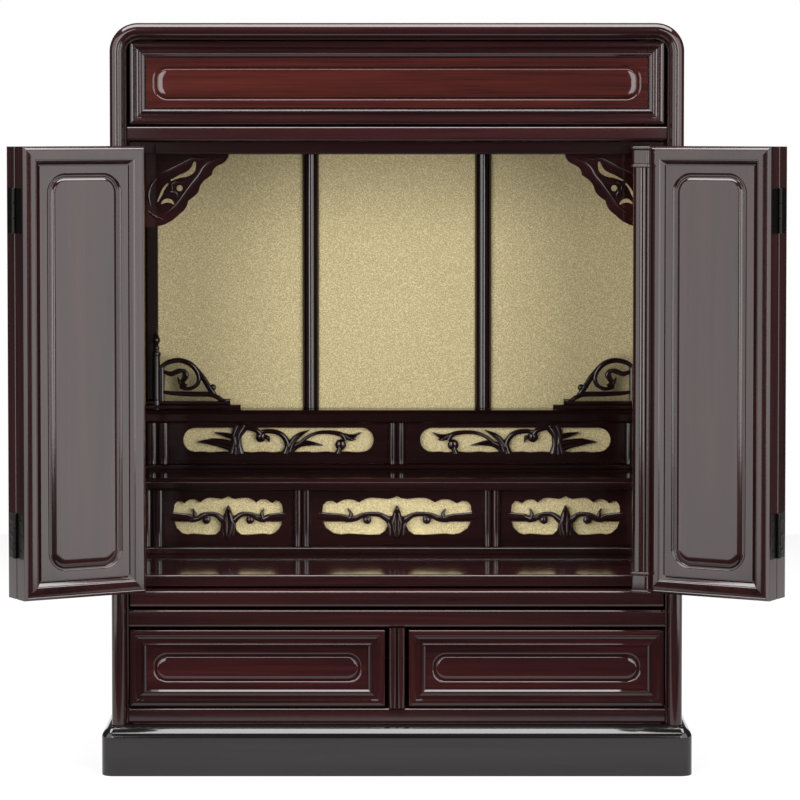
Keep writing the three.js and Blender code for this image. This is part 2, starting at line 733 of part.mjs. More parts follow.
// One half of a butt hinge. The plate lies in the face at faceX; the centre half carries the middle
// knuckle and the other half the two outer knuckles.
function hingeHalf(pin, faceX, side, [fromY, toY], middle, centreHalf) {
  const knuckleSpan = hingeLength / 3;
  const tube = (radius, from, to) => solid(new THREE.CylinderGeometry(radius, radius, to - from, 10)
    .rotateX(Math.PI / 2).translate(pin.x, pin.y, middle + (from + to) / 2));
  const gap = seam / 2;
  const centre = [-knuckleSpan / 2 + gap, knuckleSpan / 2 - gap];
  const ends = [[-hingeLength / 2, -knuckleSpan / 2 - gap], [knuckleSpan / 2 + gap, hingeLength / 2]];
  const own = centreHalf ? [centre] : ends;
  const other = centreHalf ? [[-hingeLength / 2 - 1, -knuckleSpan / 2 + gap],
    [knuckleSpan / 2 - gap, hingeLength / 2 + 1]] : [[-knuckleSpan / 2 - gap, knuckleSpan / 2 + gap]];
  const plate = block([faceX, faceX + side * plateThickness], [fromY, toY],
    [middle - hingeLength / 2, middle + hingeLength / 2]);
  const cleared = cut(plate, ...other.map(([from, to]) => tube(pin.radius + seam, from, to)));
  return join(cleared, ...own.map(([from, to]) => tube(pin.radius, from, to)));
}

// Room for the knuckles of one hinge in a door frame.
function knuckleRoom(pin, middle) {
  const length = hingeLength + seam * 2;
  return solid(new THREE.CylinderGeometry(pin.radius + seam, pin.radius + seam, length, 10)
    .rotateX(Math.PI / 2).translate(pin.x, pin.y, middle));
}

// Doors, built closed. Side is -1 for the left pair and 1 for the right pair.
const jambPin = (side) => ({ x: side * openingHalf, y: -jambPinForward, radius: jambPinRadius });
const foldPin = (side) => ({ x: side * foldPinX, y: foldPinY, radius: foldPinRadius });
const jambPlateY = [-jambPinForward, plateReach];
const foldPlateY = [doorThickness - plateReach, doorThickness];

function leafFrame(side, edge, cuts) {
  const middle = [side * (edge - leafWidth / 2), doorMiddle];
  const section = frameSection(doorFrameWidth, doorThickness, doorFrameRound);
  return cut(ring(section, leafWidth / 2, doorHalfHeight, middle), ...cuts);
}

function leafPanel(side, edge) {
  const inset = doorFrameWidth + seam;
  const middle = [side * (edge - leafWidth / 2), doorMiddle];
  return groovedPanel(leafWidth / 2 - inset, doorHalfHeight - inset, middle,
    panelSetback, panelThickness, doorGrooveInset, doorGrooveRadius);
}

function outerLeafCuts(side) {
  const farEdge = outerLeafEdge - leafWidth;
  return hingeHeights().flatMap((middle) => [
    platePocket(side * outerLeafEdge, -side, [-1, plateReach], middle),
    platePocket(side * farEdge, side, [foldPlateY[0] - seam, doorThickness + 1], middle),
    knuckleRoom(foldPin(side), middle),
  ]);
}

function innerLeafCuts(side) {
  return hingeHeights().flatMap((middle) => [
    platePocket(side * innerLeafEdge, -side, [foldPlateY[0] - seam, doorThickness + 1], middle),
    knuckleRoom(foldPin(side), middle),
  ]);
}

// Meeting strip: a reeded strip on the free edge of the right inner leaf, with a cap at each end.
function meetingStrip() {
  const freeEdge = innerLeafEdge - leafWidth;
  const from = freeEdge - stripOverhang;
  const reeds = 3;
  const radius = stripWidth / reeds / 2;
  const back = -stripClearance;
  const front = back - stripProud;
  const faces = Array.from({ length: reeds }, (_, i) => arc(
    from + radius * (2 * i + 1), front + radius, radius, 180, 360, 5));
  const strip = post([[from, back], ...faces.flat(), [from + stripWidth, back]], doorBottom, doorTop);
  const cap = (bottom, top) => post([
    [from - stripCapExtra, back],
    ...arc(from + radius, front - stripCapExtra + radius, radius + stripCapExtra, 180, 270),
    ...arc(from + stripWidth - radius, front - stripCapExtra + radius, radius + stripCapExtra, 270, 360),
    [from + stripWidth + stripCapExtra, back],
  ], bottom, top);
  return join(strip, cap(doorBottom, doorBottom + stripCapHeight), cap(doorTop - stripCapHeight, doorTop));
}

// Assembly
const cabinet = new THREE.Group();
place(cabinet, 'plinth', plinth(), lacquer);
place(cabinet, 'case_shell', caseShell(), lacquer);
place(cabinet, 'front_moulding', frontMoulding(), lacquer);
place(cabinet, 'back_board', backBoard(), lacquer);
place(cabinet, 'fascia_frame', fasciaFrame(), lacquer);
place(cabinet, 'fascia_panel', fasciaPanel(), rosewood);
place(cabinet, 'top_rail', frontRail(railHalf, doorStop - seam, topRailBottom, topRailTop), lacquer);
place(cabinet, 'lintel', lintel(), lacquer);
place(cabinet, 'ceiling_board', ceilingBoard(), lacquer);
place(cabinet, 'bottom_rail', frontRail(railHalf, railDepth, caseBottom, floorTop), lacquer);
place(cabinet, 'middle_rail', middleRail(), lacquer);
place(cabinet, 'drawer_post', drawerPost(), lacquer);
place(cabinet, 'altar_floor', altarFloor(), lacquer);
place(cabinet, 'lower_step', stepBoard(lowerRiserY, lowerStepTop - lowerStepThickness, lowerStepTop),
  lacquer);
place(cabinet, 'upper_step', stepBoard(upperRiserY, upperStepTop - upperStepThickness, upperStepTop),
  lacquer);

const endPosts = [-1, 1].map((side) => (
  { middle: side * (boardHalf - endPostWidth / 2), width: endPostWidth, beads: 2 }));
const lowerDividers = [-1, 1].map((side) => (
  { middle: side * lowerDividerX, width: lowerDividerWidth, beads: 2 }));
const upperDivider = { middle: 0, width: upperDividerWidth, beads: 2 };
place(cabinet, 'lower_riser_frame', riserFrame(lowerBaseHeight, lowerRiserY, altarFloorTop,
  lowerStepTop - lowerStepThickness, [...endPosts, ...lowerDividers]), lacquer);
place(cabinet, 'upper_riser_frame', riserFrame(upperBaseHeight, upperRiserY, lowerStepTop,
  upperStepTop - upperStepThickness, [...endPosts, upperDivider]), lacquer);
place(cabinet, 'lower_gold_board', goldBoard(lowerRiserY, altarFloorTop,
  lowerStepTop - lowerStepThickness), gold);
place(cabinet, 'upper_gold_board', goldBoard(upperRiserY, lowerStepTop,
  upperStepTop - upperStepThickness), gold);

const bayInner = lowerDividerX - lowerDividerWidth / 2 - seam;
const bayOuter = lowerDividerX + lowerDividerWidth / 2 + seam;
const bayEnd = boardHalf - endPostWidth - seam;
place(cabinet, 'lower_carving_centre', cloudCarving(-bayInner, bayInner, cloudMarginCentre), lacquer);
place(cabinet, 'back_frame', backFrame(), lacquer);
place(cabinet, 'gold_back_panel', goldBackPanel(), gold);
place(cabinet, 'tray', tray(), lacquer);

for (const [name, side] of [['left', -1], ['right', 1]]) {
  place(cabinet, `lower_carving_${name}`, cloudCarving(side * bayOuter, side * bayEnd, cloudMarginSide),
    lacquer);
  place(cabinet, `upper_carving_${name}`, vineCarving(side), lacquer);
  place(cabinet, `spandrel_${name}`, spandrel(side), lacquer);
  place(cabinet, `scroll_rail_${name}`, scrollRail(side), lacquer);
  place(cabinet, `drawer_front_${name}`, drawerFront(side), rosewood);
  place(cabinet, `drawer_box_${name}`, drawerBox(side), rosewood);

  // Each outer leaf turns on the jamb, and each inner leaf on its outer leaf.
  const jamb = jambPin(side);
  const fold = foldPin(side);
  const outerLeaf = new THREE.Group();
  outerLeaf.name = `${name}_outer`;
  outerLeaf.position.set(jamb.x, jamb.y, 0);
  outerLeaf.rotation.z = THREE.MathUtils.degToRad(side * doorOpenAngle);
  const outerParts = new THREE.Group();
  outerParts.position.set(-jamb.x, -jamb.y, 0);
  const innerLeaf = new THREE.Group();
  innerLeaf.name = `${name}_inner`;
  innerLeaf.position.set(fold.x, fold.y, 0);
  innerLeaf.rotation.z = THREE.MathUtils.degToRad(-side * doorFoldAngle);
  const innerParts = new THREE.Group();
  innerParts.position.set(-fold.x, -fold.y, 0);
  cabinet.add(outerLeaf);
  outerLeaf.add(outerParts);
  outerParts.add(innerLeaf);
  innerLeaf.add(innerParts);

  place(outerParts, `${name}_outer_door_frame`, leafFrame(side, outerLeafEdge, outerLeafCuts(side)), lacquer);
  place(outerParts, `${name}_outer_door_panel`, leafPanel(side, outerLeafEdge), lacquer);
  place(innerParts, `${name}_inner_door_frame`, leafFrame(side, innerLeafEdge, innerLeafCuts(side)), lacquer);
  place(innerParts, `${name}_inner_door_panel`, leafPanel(side, innerLeafEdge), lacquer);
  if (side > 0) place(innerParts, 'meeting_strip', meetingStrip(), lacquer);

  ['lower', 'upper'].forEach((level, i) => {
    const middle = hingeHeights()[i];
    const farEdge = outerLeafEdge - leafWidth;
    place(cabinet, `${name}_${level}_jamb_hinge_fixed`,
      hingeHalf(jamb, side * openingHalf, side, jambPlateY, middle, true), steel);
    place(outerParts, `${name}_${level}_jamb_hinge_moving`,
      hingeHalf(jamb, side * outerLeafEdge, -side, jambPlateY, middle, false), steel);
    place(outerParts, `${name}_${level}_fold_hinge_fixed`,
      hingeHalf(fold, side * farEdge, side, foldPlateY, middle, true), steel);
    place(innerParts, `${name}_${level}_fold_hinge_moving`,
      hingeHalf(fold, side * innerLeafEdge, -side, foldPlateY, middle, false), steel);
  });
}

// The origin is in the middle of the base of the bounding box.
const bounds = new THREE.Box3().setFromObject(cabinet, true);
cabinet.position.y = -(bounds.min.y + bounds.max.y) / 2;

export default cabinet;
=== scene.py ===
from math import cos, pi, radians, sin, sqrt

import bmesh
import bpy
from bmesh.types import BMEdge, BMFace, BMVert
from mathutils import Matrix, Vector


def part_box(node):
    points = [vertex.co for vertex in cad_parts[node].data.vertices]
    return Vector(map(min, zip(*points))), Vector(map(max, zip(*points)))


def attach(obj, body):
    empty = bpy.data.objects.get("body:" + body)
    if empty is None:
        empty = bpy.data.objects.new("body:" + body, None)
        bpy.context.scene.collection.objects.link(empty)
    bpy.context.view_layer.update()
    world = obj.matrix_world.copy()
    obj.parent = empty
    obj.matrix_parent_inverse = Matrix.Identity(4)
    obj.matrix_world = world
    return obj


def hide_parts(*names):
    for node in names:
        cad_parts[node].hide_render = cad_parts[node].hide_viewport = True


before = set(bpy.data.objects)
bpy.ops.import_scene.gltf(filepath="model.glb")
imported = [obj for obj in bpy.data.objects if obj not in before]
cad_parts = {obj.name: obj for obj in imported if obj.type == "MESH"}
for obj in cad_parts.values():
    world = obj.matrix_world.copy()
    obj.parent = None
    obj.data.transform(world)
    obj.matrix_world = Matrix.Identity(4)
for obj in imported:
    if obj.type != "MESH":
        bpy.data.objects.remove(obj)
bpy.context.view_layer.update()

# Household altar cabinet, dressed round its solids.
MM = 0.001
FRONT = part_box("top_rail")[0].y
SHARP = radians(32)

# Sizes of the case
CASE_CORNER = 23
CASE_WALL = 11.5
LINING = 2
PLATE_SHOW = 0.25
PLINTH_CORNER = 10
PLINTH_EDGE = 6
PLINTH_EDGE_ROUND = 2.6
PLINTH_FOOT_ROUND = 0.8
PLINTH_WALL = 24
POST_X = 75.4
POST_RADIUS = 7.25
CORNER_POST = 10
HEAD_RAIL = 13.5
BOARD_ROUND = 2.4
RAIL_ROUND = 2.5
TRAY_ROUND = 3
RAIL_DEPTH = 14

# Sizes of the doors, as they stand closed
JAMB_X = 217
JAMB_GAP = 0.8
LEAF_WIDTH = 106.3
LEAF_THICKNESS = 16.5
FOLD_GAP = 1.6
FOLD_PIN = (109.1, 17.3)
JAMB_PIN = (217, -2.5)
OPEN_ANGLE = 150
FOLD_ANGLE = 180
OUTER_EDGE = JAMB_X - JAMB_GAP
INNER_EDGE = OUTER_EDGE - LEAF_WIDTH - FOLD_GAP

# Moulded frames: their widths, and how far the panels inside them are from the outer edge
LEAF_FRAME = 14.6
LEAF_PANEL_INSET = 14.9
DRAWER_FRAME = 14.6
DRAWER_PANEL_INSET = 14

# Sizes of the risers and of what is carved in and on them
END_POST = 20
END_POST_MIDDLE = 10
LOWER_POST_X = 81
LOWER_POST = 15
UPPER_POST = 15.5
CLOUD_WIDTH = 127
CLOUD_HEIGHT = 31.9
VINE_HALF = 83
VINE_RADIUS = 10.5
VINE_HEIGHT = 25.1

# Sizes of the hinges
HINGE_LENGTH = 35.5
HINGE_FROM_END = 50.25
PLATE_REACH = 12.5
PLATE_THICKNESS = 0.7
JAMB_PIN_RADIUS = 1.5
FOLD_PIN_RADIUS = 2
KNUCKLE_GAP = 0.15
KNUCKLE_ROUND = 0.3
SCREW_SPACING = 12
SCREW_HEAD = [(2, 0), (2, 0.08), (1.6, 0.2), (0.9, 0.26), (0, 0.28)]

# Sizes of the meeting strip
STRIP_WIDTH = 15.5
STRIP_OVERHANG = 12
STRIP_CLEARANCE = 0.4
STRIP_PROUD = 5.2
STRIP_CAP = 17
CAP_LIP = 2.6
CAP_HOLLOW = 0.9

# Grooves of the panels, outward from the edge of the raised field: (distance, depth)
DEEP_GROOVE = [(6, 0), (4.6, 0.02), (3.8, 0.15), (3.2, 0.5), (2.7, 1.1), (2.2, 1.5), (1.7, 1.5),
               (1.3, 1.2), (0.9, 0.5), (0.4, 0.1), (-0.4, -0.1), (-2, -0.25), (-4.6, -0.3)]
DOUBLE_GROOVE = [(6.6, 0), (5.6, 0.06), (4.9, 0.3), (4.4, 1), (3.9, 1.3), (3.1, 1.3), (2.7, 1.65),
                 (2.3, 1.3), (1.5, 1.28), (0.9, 0.95), (0.4, 0.45), (-0.3, 0.1), (-1.4, -0.12),
                 (-3, -0.26), (-5, -0.3)]
GROOVE_MIDDLE = 2.5

SIDES = {"left": -1, "right": 1}


def span(node):
    """The lowest and highest X, Y and Z of a solid, in millimetres."""
    low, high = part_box(node)
    shift = (0, FRONT, 0)
    return [((low[i] - shift[i]) / MM, (high[i] - shift[i]) / MM) for i in range(3)]


def linear(colour):
    """An sRGB hex colour as linear RGBA."""
    parts = [((colour >> shift) & 255) / 255 for shift in (16, 8, 0)]
    return [c / 12.92 if c <= 0.04045 else ((c + 0.055) / 1.055) ** 2.4 for c in parts] + [1]


# Materials
def feed(tree, node, inputs):
    """Fills inputs of a node, each with a value or with a socket to link from."""
    for key, value in inputs.items():
        if isinstance(value, bpy.types.NodeSocket):
            tree.links.new(value, node.inputs[key])
        else:
            node.inputs[key].default_value = value


def add(tree, kind, inputs=None, **settings):
    """Adds a node with its settings and inputs."""
    new = tree.nodes.new(kind)
    for key, value in settings.items():
        setattr(new, key, value)
    feed(tree, new, inputs or {})
    return new


def start(name):
    """A new material, its node tree, its shader and the piece's own coordinates."""
    material = bpy.data.materials.new(name)
    material.use_nodes = True
    tree = material.node_tree
    shader = tree.nodes["Principled BSDF"]
    return material, tree, shader, add(tree, "ShaderNodeTexCoord").outputs["Object"]


def lacquered_wood(name, along, dark, light, streak, gloss):
    """Stained wood, rubbed down and finished in clear lacquer. The eye sees fine red streaks of grain
    deep under a wet-looking surface that mirrors the lights.
    Streaks are 2.4 mm apart and 110 mm long, tonal bands 22 mm by 400 mm."""
    material, tree, shader, place = start(name)
    across, length = 1 / 0.0024, 1 / 0.11
    wide, long = 1 / 0.022, 1 / 0.4
    fine_scale = [length if axis == along else across for axis in range(3)]
    band_scale = [long if axis == along else wide for axis in range(3)]
    fine_place = add(tree, "ShaderNodeMapping", {"Vector": place, "Scale": fine_scale}).outputs[0]
    band_place = add(tree, "ShaderNodeMapping", {"Vector": place, "Scale": band_scale}).outputs[0]
    fine = add(tree, "ShaderNodeTexNoise", {
        "Vector": fine_place, "Scale": 1, "Detail": 4, "Roughness": 0.62, "Distortion": 0.5})
    band = add(tree, "ShaderNodeTexNoise", {
        "Vector": band_place, "Scale": 1, "Detail": 2, "Roughness": 0.5, "Distortion": 0.3})
    mixed = add(tree, "ShaderNodeMix", {
        "Factor": 0.5, "A": fine.outputs["Fac"], "B": band.outputs["Fac"]}).outputs["Result"]
    ramp = add(tree, "ShaderNodeValToRGB", {"Fac": mixed})
    ramp.color_ramp.elements[0].position = 0.36
    ramp.color_ramp.elements[0].color = linear(dark)
    ramp.color_ramp.elements[1].position = 0.66
    ramp.color_ramp.elements[1].color = linear(light)
    middle = ramp.color_ramp.elements.new(0.36 + 0.3 * streak)
    middle.color = [(a + b) / 2 for a, b in zip(linear(dark), linear(light))]
    haze = add(tree, "ShaderNodeTexNoise", {"Vector": place, "Scale": 1 / 0.06, "Detail": 3})
    rough = add(tree, "ShaderNodeMapRange", {
        "Value": haze.outputs["Fac"], "To Min": 0.26, "To Max": 0.4}).outputs["Result"]
    ripple = add(tree, "ShaderNodeTexNoise", {"Vector": place, "Scale": 1 / 0.012, "Detail": 2})
    relief = add(tree, "ShaderNodeBump", {
        "Height": ripple.outputs["Fac"], "Strength": 0.25, "Distance": 0.00006}).outputs["Normal"]
    feed(tree, shader, {
        "Base Color": ramp.outputs["Color"], "Roughness": rough, "Normal": relief,
        "Coat Normal": relief, "Specular IOR Level": 0, "Coat Weight": 1, "Coat IOR": 1.45,
        "Coat Roughness": gloss})
    return material


def gold_leaf_paper(name):
    """Paper faced with crumpled gilt flakes and pasted on board. The eye sees a soft, even gold with
    a fine sparkle. A flake is 0.5 mm; it is drawn 0.9 mm wide, as coarse as it needs to show."""
    material, tree, shader, place = start(name)
    glint = add(tree, "ShaderNodeTexNoise", {
        "Vector": place, "Scale": 1 / 0.0009, "Detail": 2, "Roughness": 0.8})
    flake = add(tree, "ShaderNodeTexVoronoi", {"Vector": place, "Scale": 1 / 0.0009})
    tone = add(tree, "ShaderNodeMix", {
        "Factor": 0.35, "A": glint.outputs["Fac"], "B": flake.outputs["Distance"]}).outputs["Result"]
    ramp = add(tree, "ShaderNodeValToRGB", {"Fac": tone})
    ramp.color_ramp.elements[0].position = 0.34
    ramp.color_ramp.elements[0].color = linear(0xAF9D69)
    ramp.color_ramp.elements[1].position = 0.62
    ramp.color_ramp.elements[1].color = linear(0xF3E3B2)
    rough = add(tree, "ShaderNodeMapRange", {
        "Value": glint.outputs["Fac"], "To Min": 0.7, "To Max": 0.5}).outputs["Result"]
    relief = add(tree, "ShaderNodeBump", {
        "Height": tone, "Strength": 0.35, "Distance": 0.0002}).outputs["Normal"]
    feed(tree, shader, {
        "Base Color": ramp.outputs["Color"], "Roughness": rough, "Normal": relief,
        "Metallic": 0.25})
    return material


def blackened_steel(name):
    """Stamped steel, blackened and oiled. The eye sees a dark metal with soft highlights and faint
    scratches along the knuckles. Scratches are 0.3 mm apart."""
    material, tree, shader, place = start(name)
    lines = add(tree, "ShaderNodeMapping", {
        "Vector": place, "Scale": (1 / 0.0003, 1 / 0.0003, 1 / 0.02)}).outputs[0]
    scratch = add(tree, "ShaderNodeTexNoise", {"Vector": lines, "Scale": 1, "Detail": 3})
    ramp = add(tree, "ShaderNodeValToRGB", {"Fac": scratch.outputs["Fac"]})
    ramp.color_ramp.elements[0].color = linear(0x131211)
    ramp.color_ramp.elements[1].color = linear(0x262523)
    rough = add(tree, "ShaderNodeMapRange", {
        "Value": scratch.outputs["Fac"], "To Min": 0.25, "To Max": 0.45}).outputs["Result"]
    relief = add(tree, "ShaderNodeBump", {
        "Height": scratch.outputs["Fac"], "Strength": 0.2, "Distance": 0.00003}).outputs["Normal"]
    feed(tree, shader, {
        "Base Color": ramp.outputs["Color"], "Roughness": rough, "Normal": relief,
        "Metallic": 1})
    return material


BLACK = (0x0C0A0A, 0x181314)
DARK = (0x150909, 0x2B1314)
# A darker copy of the red lacquer. On the drawer fronts its extra darkness is painted shade, standing in
# for the light that falls off toward the bottom of the case; on the spandrels it is their own deep red.
DEEP_RED_AND_PAINTED_SHADE = (0x150808, 0x2C1112)
RED = (0x200C0B, 0x401A16)


def both_ways(name, colours, streak, gloss):
    """One finish with its grain across, and again with its grain upright."""
    return [lacquered_wood(f"{name}, grain {way}", along, *colours, streak, gloss)
            for along, way in ((0, "across"), (2, "upright"))]


dark_lacquer = both_ways("polished dark lacquer on hardwood", DARK, 0.55, 0.09)
red_lacquer = both_ways("polished red-brown lacquer on rosewood", RED, 0.5, 0.06)
deep_red_and_shade_lacquer = both_ways("polished deep red lacquer on rosewood", DEEP_RED_AND_PAINTED_SHADE, 0.5, 0.06)
black_lacquer = both_ways("polished black lacquer on hardwood", BLACK, 0.55, 0.09)
satin_stain = lacquered_wood("satin dark stain on plywood, grain upright", 2, *DARK, 0.5, 0.3)
box_wood = lacquered_wood("satin red-brown stain on drawer wood, grain back", 1, *RED, 0.5, 0.28)
gold_paper = gold_leaf_paper("gilt paper on board")
steel = [blackened_steel("blackened hinge steel")]


# Mesh work
def arc(x, y, wide, high, start_angle, end_angle, steps):
    """Points on part of an ellipse round a centre, angles in degrees."""
    turns = [radians(start_angle + (end_angle - start_angle) * i / steps) for i in range(steps + 1)]
    return [(x + wide * cos(turn), y + high * sin(turn)) for turn in turns]


def curve(points, steps):
    """Even steps along a smooth curve through points: places and unit tangents."""
    ends = [points[0], *points, points[-1]]
    count = len(points) - 1
    places = []
    for i in range(steps + 1):
        share = i / steps * count
        k = min(int(share), count - 1)
        t = share - k
        p0, p1, p2, p3 = (Vector(p) for p in ends[k:k + 4])
        spot = 0.5 * (2 * p1 + (p2 - p0) * t + (2 * p0 - 5 * p1 + 4 * p2 - p3) * t * t
                      + (3 * p1 - p0 - 3 * p2 + p3) * t ** 3)
        way = 0.5 * ((p2 - p0) + 2 * (2 * p0 - 5 * p1 + 4 * p2 - p3) * t
                     + 3 * (3 * p1 - p0 - 3 * p2 + p3) * t * t)
        places.append((spot, way.normalized()))
    return places


def smooth_line(points, steps):
    """The places along a smooth curve through points."""
    return [tuple(spot) for spot, _ in curve(points, steps)]


def only(kind, geometry):
    """The vertices, edges or faces among the results of a bmesh operator."""
    return [part for part in geometry if isinstance(part, kind)]


def soften(bm, edges, offset, segments, clamp=False):
    """Bevels edges and returns the new faces."""
    return bmesh.ops.bevel(bm, geom=edges, offset=offset, offset_type="OFFSET", segments=segments,
                           profile=0.5, affect="EDGES", material=-1, clamp_overlap=clamp)["faces"]


def spin(bm, corners, edges, steps, centre=(0, 0, 0), axis=(0, 1, 0)):
    """Spins a line of corners all the way round an axis."""
    bmesh.ops.spin(bm, geom=corners + edges, cent=centre, axis=axis, dvec=(0, 0, 0),
                   angle=2 * pi, steps=steps, use_merge=True)


def finish(name, bm, body, finishes, nodes=(), turn=Matrix()):
    """Makes the drawn mesh a shaded object on its body, in the place of the solids named."""
    bmesh.ops.remove_doubles(bm, verts=bm.verts, dist=0.002)
    bmesh.ops.recalc_face_normals(bm, faces=bm.faces)
    place = Matrix.Translation((0, FRONT, 0)) @ Matrix.Scale(MM, 4)
    bmesh.ops.transform(bm, matrix=place @ turn, verts=bm.verts)
    for face in bm.faces:
        face.smooth = True
    for edge in bm.edges:
        if edge.calc_face_angle(0) > SHARP:
            edge.smooth = False
    mesh = bpy.data.meshes.new(name)
    bm.to_mesh(mesh)
    bm.free()
    for material in finishes:
        mesh.materials.append(material)
    piece = bpy.data.objects.new(name, mesh)
    bpy.context.scene.collection.objects.link(piece)
    even = piece.modifiers.new("even shading", "WEIGHTED_NORMAL")
    even.keep_sharp = True
    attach(piece, body)
    if nodes:
        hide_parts(*nodes)


def case_piece(name, bm, *nodes):
    """Finishes a dark lacquered piece that stands with the case."""
    finish(name, bm, "cabinet", dark_lacquer, nodes)


def bar(bm, section, start_at, end_at, axis="x"):
    """Runs a closed section along X or Z. Its grain follows the axis."""
    def spot(a, b, s):
        return (a, b, s) if axis == "z" else (s, a, b)

    face = bm.faces.new([bm.verts.new(spot(a, b, start_at)) for a, b in section])
    face.material_index = 1 if axis == "z" else 0
    grown = bmesh.ops.extrude_face_region(bm, geom=[face])["geom"]
    bmesh.ops.translate(bm, verts=only(BMVert, grown), vec=spot(0, 0, end_at - start_at))


def rounded(a0, a1, b0, b1, near, far=0.6, steps=5):
    """A rectangle's section: round edges at the low end of its first axis, small ones at the high."""
    return [
        *arc(a0 + near, b0 + near, near, near, 270, 180, steps),
        *arc(a0 + near, b1 - near, near, near, 180, 90, steps),
        *arc(a1 - far, b1 - far, far, far, 90, 0, 2),
        *arc(a1 - far, b0 + far, far, far, 0, -90, 2),
    ]


def ring(bm, section, half_x, half_z, middle, radius=0, steps=1):
    """Runs a section of (inset, depth) round a rectangle: a full spin of four corners, mitred or
    round, that are then pulled apart."""
    reach = radius or max(inset for inset, _ in section) + 1
    half = pi / 4 / steps
    out = 1 / cos(half)
    old = set(bm.verts)
    corners = []
    for inset, depth in section:
        away = (reach - inset) * out
        corners.append(bm.verts.new((away * cos(half), depth, away * sin(half))))
    edges = [bm.edges.new((a, b)) for a, b in zip(corners, corners[1:] + corners[:1])]
    spin(bm, corners, edges, 4 * steps)
    new = [v for v in bm.verts if v not in old]
    pull_apart(bm, new, half_x - reach, half_z - reach, middle)
    if steps == 1:
        for edge in {e for v in new for e in v.link_edges}:
            a, b = (v.co - Vector((middle[0], 0, middle[1])) for v in edge.verts)
            if a.x * b.x > 0 and a.z * b.z > 0:
                edge.smooth = False
    for face in {f for v in new for f in v.link_faces}:
        wide, high = (max(v.co[i] for v in face.verts) - min(v.co[i] for v in face.verts)
                      for i in (0, 2))
        face.material_index = 0 if wide >= high else 1


def pull_apart(bm, verts, move_x, move_z, middle):
    """Moves the four quarters of a spun shape out to the corners of a rectangle."""
    quarters = [(sx, sz, [v for v in verts if v.co.x * sx > 0 and v.co.z * sz > 0])
                for sx in (-1, 1) for sz in (-1, 1)]
    for sx, sz, quarter in quarters:
        bmesh.ops.translate(bm, verts=quarter,
                            vec=(sx * move_x + middle[0], 0, sz * move_z + middle[1]))


def trim(bm, point, normal, fill=True):
    """Cuts away what lies beyond a plane and closes the cut."""
    cut = bmesh.ops.bisect_plane(bm, geom=bm.verts[:] + bm.edges[:] + bm.faces[:], dist=0.0001,
                                 plane_co=point, plane_no=normal, clear_outer=True)["geom_cut"]
    edges = only(BMEdge, cut)
    if fill and edges:
        bmesh.ops.triangle_fill(bm, edges=edges, use_beauty=True)


def grooved_panel(half_x, half_z, middle, front, thickness, inset, radius, groove):
    """A board with a raised field, inside a groove with round corners that is inset from the edge."""
    bm = bmesh.new()
    steps = 9
    half = pi / 4 / steps
    out = 1 / cos(half)
    far = (inset + radius) * sqrt(2) + 2
    profile = [(far, 0), *((max(radius + away - GROOVE_MIDDLE, 0.6), depth) for away, depth in groove)]
    corners = []
    for away, depth in profile:
        corners.append(bm.verts.new((away * out * cos(half), front + depth, away * out * sin(half))))
    edges = [bm.edges.new(pair) for pair in zip(corners, corners[1:])]
    spin(bm, corners, edges, 4 * steps)
    pull_apart(bm, bm.verts[:], half_x - inset - radius, half_z - inset - radius, middle)
    field = [e for e in bm.edges if e.is_boundary
             and abs(e.verts[0].co.x - middle[0]) < half_x - inset
             and abs(e.verts[0].co.z - middle[1]) < half_z - inset]
    bmesh.ops.edgeloop_fill(bm, edges=field)
    for sign in (-1, 1):
        trim(bm, (middle[0] + sign * half_x, 0, 0), (sign, 0, 0), fill=False)
        trim(bm, (0, 0, middle[1] + sign * half_z), (0, 0, sign), fill=False)
    rim = [e for e in bm.edges if e.is_boundary]
    grown = bmesh.ops.extrude_edge_only(bm, edges=rim)["geom"]
    back = only(BMVert, grown)
    bmesh.ops.translate(bm, verts=back, vec=(0, thickness, 0))
    bmesh.ops.edgeloop_fill(bm, edges=[e for e in only(BMEdge, grown)
                                       if all(v in back for v in e.verts)])
    return bm


def pierced(bm, outside, holes, front, back, rim):
    """A sawn sheet with its holes, and a small round along every front edge."""
    loops = []
    for points in [outside, *holes]:
        corners = [bm.verts.new((x, front, z)) for x, z in points]
        loops += [bm.edges.new((a, b)) for a, b in zip(corners, corners[1:] + corners[:1])]
    filled = bmesh.ops.triangle_fill(bm, edges=loops, use_beauty=True)["geom"]
    grown = bmesh.ops.extrude_face_region(bm, geom=only(BMFace, filled))["geom"]
    bmesh.ops.translate(bm, verts=only(BMVert, grown), vec=(0, back - front, 0))
    soften(bm, loops, rim, 3, clamp=True)


ROUND = [(-1, 0), *arc(0, 0, 1, 1, 165, 15, 10), (1, 0)]
RIDGED = [(-1, 0), (-0.93, 0.35), (-0.75, 0.7), (-0.5, 0.92), (-0.28, 0.9), (-0.1, 0.62), (0, 0.4),
          (0.1, 0.62), (0.28, 0.9), (0.5, 0.92), (0.75, 0.7), (0.93, 0.35), (1, 0)]


def stem(bm, points, widths, front, back, relief, steps, section=ROUND):
    """A carved stem or leaf that follows a curve and swells or tapers, round in front, flat behind."""
    shape = [*section, (1, -1), (-1, -1)]
    grid = bmesh.ops.create_grid(bm, x_segments=steps, y_segments=len(shape), size=1)["verts"]
    grid.sort(key=lambda v: (round(v.co.x, 5), round(v.co.y, 5)))
    for i, (spot, way) in enumerate(curve(points, steps)):
        along = i / steps * (len(widths) - 1)
        k = min(int(along), len(widths) - 2)
        half = (widths[k] + (widths[k + 1] - widths[k]) * (along - k)) / 2
        rise = relief * min(1, half / 1.6)
        for j, (u, h) in enumerate([*shape, shape[0]]):
            depth = front - rise * h if h >= 0 else back
            place = (spot.x - way.y * u * half, depth, spot.y + way.x * u * half)
            grid[i * (len(shape) + 1) + j].co = place
    for end in (0, steps):
        row = [grid[end * (len(shape) + 1) + j] for j in range(len(shape))]
        bm.faces.new(row)


